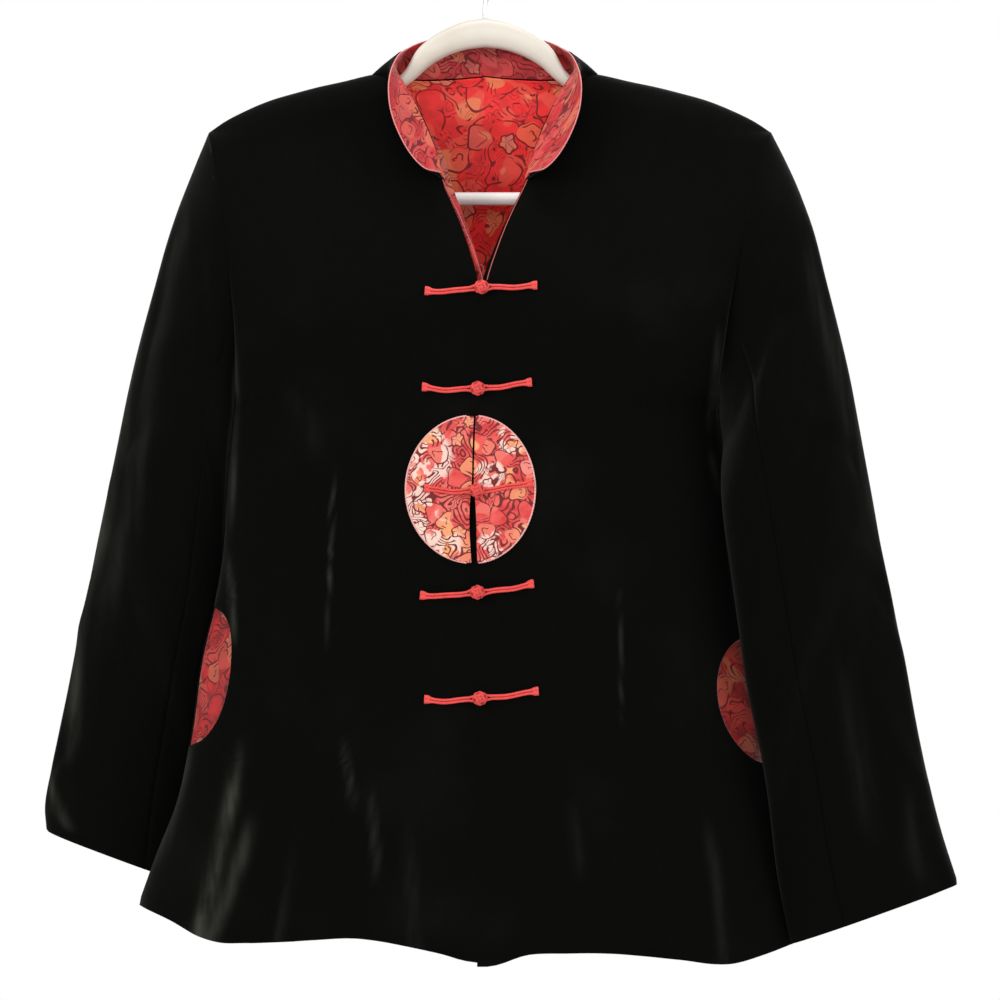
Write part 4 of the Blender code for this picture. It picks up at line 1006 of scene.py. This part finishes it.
# From a front end round to the centre back: the neck seam, the free edge, and how far the edge leans forward.
COLLAR = table(
    "seam_half seam_drop edge_half edge_drop lean",
    (31, 183, 33, 180, 9), (35, 169, 45, 176, 19), (39.5, 155, 56, 164, 23), (45, 141.5, 65, 147, 24),
    (52, 127, 70.3, 130, 23), (60, 113, 71.5, 112, 20), (66, 104, 68.5, 97, 15), (68, 101, 62, 86.5, 9.5),
    (54, 0, 48.5, 79.5, 6.5), (29, 0, 27, 75, 5), (0, 0, 0, 74, 4),
)
COLLAR_BACK_ROWS = 3  # of the table, whose seam lies on the back
COLLAR_OFF_PANEL = -1.3  # from the panel's face to its foot, which is sewn in below the face
COLLAR_MIDDLE = np.array([0.0, -20.0, -130.0])


def collar_grid(stations, heights):
    """The collar's velvet face: stations from one front end round to the other, heights from the seam."""
    order = np.arange(len(COLLAR["lean"]), dtype=float)
    reach = np.linspace(-order[-1], order[-1], stations)
    side = np.where(reach < 0, RIGHT, LEFT)
    at = order[-1] - np.abs(reach)
    seam_half, seam_drop, edge_half, edge_drop, lean = (along(at, order, v) for v in COLLAR.values())
    seam_x, edge_x = side * seam_half, side * edge_half
    behind = at > order[-1] - COLLAR_BACK_ROWS
    in_front = slice(-COLLAR_BACK_ROWS)
    front_drop = np.interp(at, order[in_front], COLLAR["seam_drop"][in_front])
    seam_drop = np.where(behind, back_top(seam_x), front_drop)
    seam_y = np.where(behind, body_y(seam_x, seam_drop, BACK), body_y(seam_x, seam_drop, FRONT))
    seam = xyz(seam_x, seam_y, seam_drop)
    edge = xyz(edge_x, seam_y - lean, edge_drop)
    seam = seam + COLLAR_OFF_PANEL * unit(edge - seam)
    return seam[None] + (edge - seam)[None] * np.asarray(heights)[:, None, None]


collar_brocade = brocade_finish(
    "collar_brocade", (0.55, 0.026, 0.030), (0.34, 0.011, 0.014),
    ((0.58, 0.075, 0.065), (0.56, 0.15, 0.08), (0.44, 0.085, 0.085)), (0.09, 0.003, 0.005), busy=0.6,
)
CORD_LOOK = {"Sheen Weight": 0.06, "Sheen Roughness": 0.4, "Specular IOR Level": 0.5}
TWIST = 520.0  # threads wound round a cord, a metre


def cord_finish(name, light, dark):
    """Satin cut on the slant and rolled into a cord: fine threads wind round it."""
    finish = Finish(name, CORD_LOOK)
    at = finish.cloth()
    lengthwise, round_it = finish.axis(at, "Y"), finish.axis(at, "X")
    winding = ((lengthwise * 0.8 + round_it) * (TWIST * 2 * math.pi)).wave() * 0.5 + 0.5
    uneven = finish.noise(at, 260.0, 2.0)
    finish.surface(
        Base_Color=finish.mix(winding * 0.45 + uneven * 0.55, dark, light), Roughness=0.42 + uneven * 0.2,
    )
    finish.bump(winding * 0.6 + uneven * 0.6, 0.00030, 0.7)
    return finish


piping_satin = cord_finish("piping_satin", PIPING, PIPING_SHADE)


def directions(path, closed=False):
    """The way a path runs at each of its points. A closed one runs on from its end to its start."""
    return unit(np.roll(path, -1, axis=0) - np.roll(path, 1, axis=0) if closed else np.gradient(path, axis=0))


def tube_faces(rows, sides, closed=False):
    """The faces of a tube: it's closed into a loop, or each end is closed flat."""
    last = (rows - 1) * sides
    if closed:
        ends = [(last + j, last + (j + 1) % sides, (j + 1) % sides, j) for j in range(sides)]
    else:
        ends = [tuple(range(sides))[::-1], tuple(last + j for j in range(sides))]
    return grid_faces(rows, sides, ring=True) + ends


def sections(path, one, two, sides):
    """An ellipse of points round each point of a path, with the two half widths (vectors) at each."""
    angles = np.arange(sides) * 2 * math.pi / sides
    return path[:, None] + np.cos(angles)[:, None] * one[:, None] + np.sin(angles)[:, None] * two[:, None]


def add_tube(name, ring, finish, nodes=(), closed=False):
    """A piece made of rings of points."""
    faces, flat = tube_faces(*ring.shape[:2], closed), flat_tube(ring).reshape(-1, 2)
    return add_piece(name, ring.reshape(-1, 3), faces, [finish], nodes, flat=flat)


def round_cord(name, path, radius, finish, nodes=(), sides=8, closed=False):
    """A round cord or wire along a path."""
    way = directions(path, closed)
    one = unit(np.cross(way, [0.0, 1.0, 0.0]))
    ring = sections(path, one * radius, np.cross(one, way) * radius, sides)
    return add_tube(name, ring, finish, nodes, closed)


COLLAR_STATIONS, COLLAR_ROWS = 145, 15
COLLAR_CROWN = 1.0  # how far it bows between its seam and its edge
COLLAR_PIPING = 0.5
PIPING_IN, PIPING_BEYOND = 1.8, 0.5  # from the velvet's face and from the collar's edge to its middle
FOOT_SPREAD = 16.8  # how far the velvet's foot reaches out along each shoulder


def spread_foot(face):
    """The velvet side of the collar, drawn out at its foot where it passes over the shoulders."""
    heights = np.linspace(0, 1, COLLAR_ROWS)[:, None]
    side = np.sign(face[..., 0])
    near = np.exp(-(((face[:1, :, 2] + NECK_SIDE_DROP) / 5.0) ** 2)) * (np.abs(face[:1, :, 0]) > 55)
    out = FOOT_SPREAD * near * (1 - heights) ** 1.4
    lower = shoulder_drop(face[..., 0] + side * out) - shoulder_drop(face[..., 0])
    return face + np.stack([side * out, 0 * out, -lower * (1 - heights)], axis=-1)


def collar():
    """Both layers of the collar, and the piping between them."""
    face = collar_grid(COLLAR_STATIONS, np.linspace(0, 1, COLLAR_ROWS))
    inward = -outward(face, COLLAR_MIDDLE)
    bow = COLLAR_CROWN * np.sin(math.pi * np.linspace(0, 1, COLLAR_ROWS))[:, None, None]
    station = np.linspace(0, 1, COLLAR_STATIONS)
    ripple = 0.35 * np.sin(40 * station + 1.5 * np.sin(13 * station))
    plain = face - (bow + bow * ripple[None, :, None]) * inward
    face = spread_foot(plain)
    velvet_back = face + COLLAR_VELVET * inward
    piece = cloth_wall(
        "collar_velvet_stand", face, velvet_back, (velvet, velvet), ["collar_velvet"],
        flat_tube(face),
    )
    lining_face = (plain + (COLLAR_VELVET + SEAM) * inward)[1:]
    lining_back = lining_face + LINING * inward[1:]
    piece = cloth_wall(
        "collar_brocade_facing", lining_face, lining_back, (collar_brocade, collar_brocade),
        ["collar_lining"], flat_tube(plain)[1:],
    )
    edge = plain[-1] + PIPING_IN * inward[-1] + PIPING_BEYOND * unit(plain[-1] - plain[-2])
    round_cord("collar_piping", edge, COLLAR_PIPING, piping_satin)


collar()

# The brocade lining of the back, which shows through the neck and the V of the fronts, behind the
# hanger. It hangs a little free of the velvet, in slow waves.

LINING_HALF, LINING_END = 76.0, 330.0
LINING_RISE = 3.2  # how far it reaches up behind the collar, which it's sewn to
LINING_BEHIND, POCKET_BEHIND = WALL + 1.2, WALL + 3.9
POCKET_UNDERLAP = 8.0


def patch(name, x, drop, face, depth, thickness, finish, node, puff):
    """Thin brocade that follows a body panel, its face at a depth below the panel's (negative is above)."""
    surface = xyz(x, body_y(x, drop, face), drop)
    out = outward(surface, BODY_MIDDLE)
    depth = np.asarray(depth - puff)[..., None]
    outer, inner = surface - depth * out, surface - (depth + thickness) * out
    for layer in (outer, inner):
        layer[..., 1] = face * np.maximum(face * layer[..., 1], SEAM / 2)
    return cloth_wall(name, outer, inner, (finish, finish), [node], flat_panel(surface))


x = np.linspace(-LINING_HALF, LINING_HALF, 61)[None, :]
under_collar = np.clip((NECK_SIDE + 2 - np.abs(x)) / 10, 0, 1)
drop = back_top(x) + 1 - LINING_RISE * under_collar
drop = drop + (LINING_END - drop) * np.linspace(0, 1, 70)[:, None] ** 1.4
waves = -0.5 - 0.5 * np.sin(x / 11 + 1.3 * np.sin(drop / 33)) * np.clip((drop - 120) / 60, 0, 1)
lining = patch(
    "back_neck_lining", x + 0 * drop, drop, BACK, LINING_BEHIND, LINING, lining_brocade, "back_lining", waves,
)

# The half-moon pockets: a shaped piece of darker brocade behind each front's cut-away side edge,
# which is bound with a thin cord of satin.

pocket_brocade = brocade_finish(
    "pocket_brocade", (0.42, 0.013, 0.013), (0.20, 0.006, 0.007),
    ((0.42, 0.05, 0.035), (0.40, 0.13, 0.06), (0.30, 0.07, 0.07)), (0.06, 0.002, 0.003), busy=0.4,
)
pocket_piping = cord_finish("pocket_piping", (0.56, 0.16, 0.15), (0.36, 0.06, 0.06))
POCKET_PIPING = 0.7

for side, word in SIDES.items():
    size = POCKETS[side]
    drop = np.linspace(size["top"] - 1, size["end"] + 1, 48)[:, None]
    seam = side_x(drop, side) - 0.1
    inside = seam - pocket_scoop(drop, side) - POCKET_UNDERLAP
    share = np.linspace(0, 1, 25) ** 0.7
    x = side * (inside + (seam - inside) * share)
    low = np.clip((2 * drop - size["top"] - size["end"]) / (size["end"] - size["top"]), 0, 1)
    at_seam, at_foot = (POCKET_BEHIND - 0.6) * share**6, (POCKET_BEHIND - WALL - 0.3) * low**3
    pocket = patch(
        f"pocket_{word}_inset", x, drop + 0 * x, FRONT, POCKET_BEHIND, LINING, pocket_brocade,
        f"pocket_{word}", np.maximum(at_seam, at_foot),
    )
    outer_edge, inner_edge = pocket_edges[side]
    path = (outer_edge + inner_edge) / 2
    round_cord(f"pocket_{word}_piping", path, POCKET_PIPING, pocket_piping)

# The edges of the V, where the brocade inside shows as a thin bright line. On the wearer's right a
# strip of it is turned out wider below the collar, and at the point of the V it's sewn into a leaf.

v_satin = cord_finish("v_edge_satin", (0.50, 0.10, 0.09), (0.30, 0.03, 0.03))
leaf_satin = cord_finish("leaf_satin", (0.26, 0.012, 0.012), (0.12, 0.004, 0.004))
facing_brocade = brocade_finish(
    "v_facing_brocade", (0.40, 0.012, 0.014), (0.22, 0.006, 0.008),
    ((0.42, 0.05, 0.04), (0.40, 0.10, 0.05), (0.30, 0.05, 0.05)), (0.06, 0.002, 0.003), busy=0.5,
)
V_EDGE = 0.32  # the radius of the bright line
LEAF_X, LEAF_DROP, LEAF_CORD = -2.6, 251.5, 0.5
LEAF_HALF_WIDTH, LEAF_HALF_HEIGHT, LEAF_BEHIND = 1.7, 5.0, 1.2
STRIP_UNDER, STRIP_CLOTH = 2.0, 0.9  # how far it reaches under the front's edge, and its thickness
STRIP_BEHIND, STRIP_LEAN = 3.2, 1.2  # behind the velvet's face, and how much further at its free edge
# The strip turned out at the wearer's right.
V_FACING = table(
    "drop width",
    (150, 3), (166, 6), (183, 5.6), (200, 3.8), (222, 2.2), (250, 0.6),
)

drop = np.linspace(COLLAR_END - 3, V_END - 5, 60)
for side, word in SIDES.items():
    edge_x = side * along(drop, NECK["drop"], NECK["half"])
    path = xyz(edge_x - side * 0.1, body_y(edge_x, drop, FRONT) + 0.5, drop)
    round_cord(f"v_edge_{word}", path, V_EDGE, v_satin)

drop = np.linspace(V_FACING["drop"][0], V_FACING["drop"][-1], 60)[:, None]
edge_x = -along(drop, NECK["drop"], NECK["half"])
width = along(drop, V_FACING["drop"], V_FACING["width"])
strip = np.linspace(0, 1, 9)
x = edge_x - STRIP_UNDER + (width + STRIP_UNDER) * strip
depth = STRIP_BEHIND + STRIP_LEAN * strip + 0 * x
surface = xyz(x, body_y(edge_x, drop, FRONT) + depth, drop + 0 * x)
facing = cloth_wall(
    "v_facing_right", surface, surface + [0, STRIP_CLOTH, 0], (facing_brocade, facing_brocade),
    [], flat_panel(surface),
)

turn = np.linspace(0, 2 * math.pi, 40, endpoint=False)
leaf_drop = LEAF_DROP - LEAF_HALF_HEIGHT * np.cos(turn) - 1.2 * np.abs(np.sin(turn))
leaf_y = body_y(LEAF_X, 251.0, FRONT) + LEAF_BEHIND
path = xyz(LEAF_X + LEAF_HALF_WIDTH * np.sin(turn), leaf_y, leaf_drop)
round_cord("v_leaf_loop", path, LEAF_CORD, leaf_satin, sides=10, closed=True)

# The round patch across the centre front, in two halves: brocade in its own colours, turned under
# and sewn down flat, with a thin pale cord round its edge. It parts where the jacket opens.

MEDALLION_DROP, MEDALLION_HALF_HEIGHT = 409.3, 53.5
MEDALLION_EDGE = {RIGHT: -57.5, LEFT: 36.5}  # how far out each half reaches, as X
ABOVE = 0.4  # the gap between it and the velvet's face
MEDALLION_CLOTH = 1.0
MEDALLION_PUFF = 0.5  # how far its middle stands up
PATCH_PIPING, PATCH_PIPING_LIFT = 0.7, 0.5
ROUND_SHARE = 0.94  # of its half turn, where the rows end short of its top and foot
# Half of the slit between its halves, which opens wider from the third frog down.
MEDALLION_SLIT = table(
    "drop half",
    (350, 0.7), (380, 0.7), (402, 0.75), (408, 1), (418, 1.9), (470, 2.1),
)

patch_brocade = brocade_finish(
    "patch_brocade", (0.66, 0.085, 0.070), (0.50, 0.022, 0.024),
    ((0.68, 0.15, 0.12), (0.74, 0.36, 0.15), (0.70, 0.26, 0.23)), (0.055, 0.002, 0.003),
    busy=1.0, by_place=True,
    silver=(
        (-0.046, 0.386, 0.026), (-0.052, 0.424, 0.020), (-0.036, 0.450, 0.022),
        (0.019, 0.373, 0.012), (0.004, 0.398, 0.012), (0.006, 0.452, 0.014),
    ),
)
patch_piping = cord_finish("patch_piping", (0.80, 0.42, 0.40), (0.52, 0.20, 0.20))

for side, word in SIDES.items():
    down = np.sin(np.linspace(-math.pi / 2, math.pi / 2, 61) * ROUND_SHARE)[:, None]
    drop = MEDALLION_DROP + MEDALLION_HALF_HEIGHT * down
    edge = centre_x(drop) + side * along(drop, MEDALLION_SLIT["drop"], MEDALLION_SLIT["half"])
    half = np.abs(MEDALLION_EDGE[side] - centre_x(MEDALLION_DROP))
    outline = centre_x(MEDALLION_DROP) + side * half * np.sqrt(1 - down**2)
    share = np.linspace(0, 1, 33)
    x = edge + (outline - edge) * share
    puff = MEDALLION_PUFF * np.sqrt(np.clip((1 - share**4) * (1 - down**4), 0, 1))
    piece = patch(
        f"medallion_{word}_patch", x, drop + 0 * share, FRONT, -ABOVE - MEDALLION_CLOTH, MEDALLION_CLOTH,
        patch_brocade, f"medallion_{word}", puff,
    )
    rim_x, rim_drop = outline[:, 0], drop[:, 0]
    path = xyz(rim_x, body_y(rim_x, rim_drop, FRONT) - ABOVE - PATCH_PIPING_LIFT, rim_drop)
    round_cord(f"medallion_{word}_piping", path, PATCH_PIPING, patch_piping)

# The five frogs: a ball knot on one front, a loop over it from the other, and on each side two cords
# of rolled red satin laid together, opened out and turned under at their ends, and sewn down.

# Where each ball knot sits, and the drops of its two cord legs' ends.
FROGS = table(
    "x drop right_end left_end right_x left_x",
    (-2.4, 262.4, 265, 261.2, -43.5, 38), (-5.2, 336, 335, 331, -45.5, 34), (-5.6, 410, 408, 404, -44, 34.5),
    (-5.4, 484, 486, 478, -47, 35.5), (-3.6, 561, 562, 555.5, -44, 39),
)
KNOT = (5.4, 4.2, 5.2)  # half sizes of a ball knot
PLAIT_CORD, PLAIT_FLATTER = 1.15, 0.8  # the cord's radius in the knot, and how much less deep it is
PLAIT_TURNS, PLAIT_WAVES = 3, 4  # round the ball, and up and down it
BALL_SHARE = 0.93  # of the plait's half sizes, for the ball inside it
LEG_END = 1.45  # how much wider a leg is at its square end
LEG_SAG = {RIGHT: 1.6, LEFT: 0.64}  # how far a leg sags between its ends
LEG_IN_KNOT, LEG_LIFT = 1.2, 1.25  # how far it starts inside the knot, and its middle above the cloth
FLARE_START, FLARE_LENGTH = 0.80, 0.14  # of a leg's length, where it begins to widen and over how much
END_POINTS = 7  # of a leg's path, under its flattened end
STRAND_APART = 1.15  # from the middle of a leg to the middle of each of its two cords
STRAND_RADIUS, STRAND_DEPTH = 0.98, 1.2
CORD_SIDES = 12
frog_satin = cord_finish("frog_satin", (0.86, 0.075, 0.060), (0.40, 0.012, 0.014))


def on_front(x, drop, lift):
    """A point on the fronts' face, moved out by the lift."""
    return xyz(x, body_y(x, drop, FRONT) - lift, drop)


def joined(parts):
    """The points and faces of several small meshes as one."""
    points, faces, start = [], [], 0
    for some, sides in parts:
        points.append(some)
        faces += [tuple(start + k for k in face) for face in sides]
        start += len(some)
    return np.concatenate(points), faces


def strand(path, tall, deep):
    """The mesh of one cord: its half height and half depth at each point of its path."""
    way = directions(path)
    face_on = np.array([0.0, -1.0, 0.0])
    out = unit(face_on - way * (way @ face_on)[:, None])
    ring = sections(path, np.cross(way, out) * tall[:, None], out * deep[:, None], CORD_SIDES)
    return ring.reshape(-1, 3), tube_faces(len(path), CORD_SIDES)


def add_cords(name, parts, node):
    """Several cords as one piece in place of a node."""
    points, faces = joined(parts)
    flat = [flat_tube(part[0].reshape(-1, CORD_SIDES, 3)).reshape(-1, 2) for part in parts]
    add_piece(name, points, faces, [frog_satin], [node], flat=np.concatenate(flat))


def knot(number, middle):
    """A ball knot: one cord plaited over and under itself round a ball."""
    turns = np.linspace(0, PLAIT_TURNS * 2 * math.pi, 180, endpoint=False)
    wave = turns * PLAIT_WAVES / PLAIT_TURNS
    rise, over = 0.98 * np.sin(wave), 1 + 0.10 * np.cos(2 * wave)
    core = np.array(KNOT) - PLAIT_CORD
    way = np.stack([np.cos(rise) * np.cos(turns), np.sin(rise), np.cos(rise) * np.sin(turns)], axis=-1)
    path = middle + way * core * over[:, None]
    side_on = np.cross(directions(path, closed=True), unit(way))
    ring = sections(path, PLAIT_CORD * side_on, PLAIT_CORD * PLAIT_FLATTER * unit(way), CORD_SIDES)
    angles = np.arange(CORD_SIDES) * 2 * math.pi / CORD_SIDES
    down = np.linspace(0.02, math.pi - 0.02, 12)[:, None]
    rows = np.broadcast_arrays(np.sin(down) * np.cos(angles), np.sin(down) * np.sin(angles), np.cos(down))
    ball = (middle + np.stack(rows, axis=-1) * core * BALL_SHARE).reshape(-1, 3)
    parts = [
        (ring.reshape(-1, 3), tube_faces(len(path), CORD_SIDES, closed=True)),
        (ball, tube_faces(len(down), CORD_SIDES)),
    ]
    add_cords(f"frog_{number}_ball_knot", parts, f"frog_{number}_knot")


def leg(number, row, side, word, base):
    """The two cords of one leg, from the knot to their flattened end."""
    start, end = row["x"] + side * (KNOT[0] - LEG_IN_KNOT), row[f"{word}_x"]
    share = np.linspace(0, 1, 56)
    x = start + (end - start) * share
    sag = LEG_SAG[side] * np.sin(math.pi * share)
    wander = 0.35 * np.sin(share * 9.0 + number * 1.9 + side)
    drop = row["drop"] + (row[f"{word}_end"] - row["drop"]) * share + sag + wander
    path = on_front(x, drop, base + LEG_LIFT)
    flare = 1 + (LEG_END - 1) * np.clip((share - FLARE_START) / FLARE_LENGTH, 0, 1) ** 1.5
    near_knot = np.clip(share / 0.10, 0, 1)
    apart = STRAND_APART * (0.9 + 0.6 * (1 - near_knot)) * flare
    deep = STRAND_DEPTH + 0.15 * (flare - 1)
    parts = [strand(path + way * apart[:, None] * [0, 0, 1], STRAND_RADIUS * flare, deep) for way in (1, -1)]
    at_end = slice(-END_POINTS, None)
    parts.append(strand(path[at_end] + [0, 0.25, 0], 2.2 * flare[at_end], 1.05 + 0 * share[at_end]))
    add_cords(f"frog_{number}_cords_{word}", parts, f"frog_{number}_leg_{word}")


for number in range(1, len(FROGS["x"]) + 1):
    row = {column: values[number - 1] for column, values in FROGS.items()}
    on_patch = abs(row["drop"] - MEDALLION_DROP) < 5
    base = ABOVE + (MEDALLION_CLOTH + SEAM if on_patch else 0)
    knot(number, on_front(row["x"], row["drop"], base + KNOT[1]))
    for side, word in SIDES.items():
        leg(number, row, side, word, base)

# The hanger: a wide contoured suit hanger moulded in cream plastic, its crossbar in a whiter one,
# and a bright wire hook screwed into the top of its arch.

HANGER_LOOK = {"Specular IOR Level": 0.5, "Coat Weight": 0.15, "Coat Roughness": 0.2}


def moulded(name, light, dark):
    """Moulded plastic: a faint orange peel, and a little grime in random patches."""
    finish = Finish(name, HANGER_LOOK)
    at = finish.place()
    grime = finish.noise(at, 14.0, 3.0).step(0.40, 0.75)
    peel = finish.noise(at, 420.0, 2.0)
    finish.surface(
        Base_Color=finish.mix(grime * 0.8 + peel * 0.1, light, dark),
        Roughness=0.34 + grime * 0.14 + peel * 0.06,
    )
    finish.bump(peel, 0.0002, 0.35)
    return finish


cream_plastic = moulded("cream_plastic", (0.56, 0.52, 0.45), (0.48, 0.43, 0.36))
white_plastic = moulded("white_plastic", (0.84, 0.83, 0.80), (0.74, 0.72, 0.67))

# Half of its contoured arms: the top edge, the height, the half depth and the middle of each section.
ARMS = table(
    "x top height half_depth middle",
    (0, 62, 21.4, 7.5, 0), (15, 64.5, 21, 7.5, 0), (29, 70, 20.5, 7.5, -0.5), (42, 78, 20.5, 7, -2),
    (51, 87, 20, 7, -4), (58, 99.5, 13, 6.5, -5.5), (70, 109, 12.5, 7, -4.5), (104, 115, 13, 10, -1),
    (139, 122.5, 13, 11, 0), (168, 132, 13, 10, 0), (184, 141, 10, 7, 0), (189, 146.5, 4, 4, 0),
)
ARCH_HALF, ARM_SIDES = 60.0, 40
BAR_DROP, BAR_RADIUS, BAR_HALF, BAR_BEND = 195.0, 4.8, 163.0, 18.0
BAR_UNDER = 3.0  # from the arms down to the bar's ends
HOOK_RADIUS, HOOK_WIRE = 19.0, 1.7
HOOK_SPAN = (-52, 196)  # degrees, from where the circle meets the stem round to its tip
HOOK_STEM_END = 61.8


def squared(wave):
    """A sine or cosine whose ellipse has fuller corners."""
    return np.sign(wave) * np.abs(wave) ** 0.75


half = np.concatenate([np.linspace(0, ARCH_HALF, 49), np.linspace(ARCH_HALF, ARMS["x"][-1], 61)[1:]])
x = np.concatenate([-half[:0:-1], half])[:, None]
top, height, depth, middle = (along(np.abs(x), ARMS["x"], column) for column in list(ARMS.values())[1:])
angles = np.arange(ARM_SIDES) * 2 * math.pi / ARM_SIDES
drop = top + height / 2 - height / 2 * squared(np.cos(angles))
ring = xyz(x, middle + depth * squared(np.sin(angles)), drop)
add_tube("hanger_contoured_arms", ring, cream_plastic, ["hanger_arms"])

bar_under_arm = along(BAR_HALF, ARMS["x"], ARMS["top"]) + along(BAR_HALF, ARMS["x"], ARMS["height"])
bend = np.linspace(0, math.pi / 2, 16)
level = np.linspace(BAR_HALF - BAR_BEND, 0, 14)[1:]
x = np.concatenate([[BAR_HALF], BAR_HALF - BAR_BEND * (1 - np.cos(bend)), level])
drop = np.concatenate([
    [float(bar_under_arm) + BAR_UNDER], BAR_DROP - BAR_BEND * (1 - np.sin(bend)), BAR_DROP + 0 * level,
])
path = xyz(np.concatenate([-x, x[-2::-1]]), 0.0, np.concatenate([drop, drop[-2::-1]]))
round_cord("hanger_crossbar", path, BAR_RADIUS, white_plastic, ["hanger_bar"], sides=32)

steel = Finish("plated_steel", {"Metallic": 1.0})
scuffs = steel.noise(steel.place(), 90.0, 4.0)
steel.surface(
    Base_Color=steel.mix(scuffs, (0.70, 0.70, 0.69), (0.58, 0.58, 0.57)), Roughness=0.18 + scuffs * 0.16,
)
steel.bump(steel.noise(steel.place(), 700.0, 2.0), 0.0001, 0.2)

radius = HOOK_RADIUS + HOOK_WIRE
turn = np.radians(np.linspace(*HOOK_SPAN, 90))
circle = np.stack([radius * np.cos(turn), HOOK_RADIUS - radius * np.sin(turn)], axis=-1)
# Its stem, up from the arms and round into the circle, as points in X and drop.
STEM = np.array([(0.0, HOOK_STEM_END), (0.0, 54.0), (0.8, 48.5), (4.0, 43.0), (8.5, 39.0)])
fine = np.linspace(0, len(STEM) - 1, 25)
stem = np.stack([along(fine, np.arange(len(STEM)), column) for column in STEM.T], axis=-1)
path = np.concatenate([stem, circle])
round_cord(
    "hanger_wire_hook", xyz(path[:, 0], 0.0, path[:, 1]), HOOK_WIRE, steel, ["hanger_hook"],
    sides=24,
)
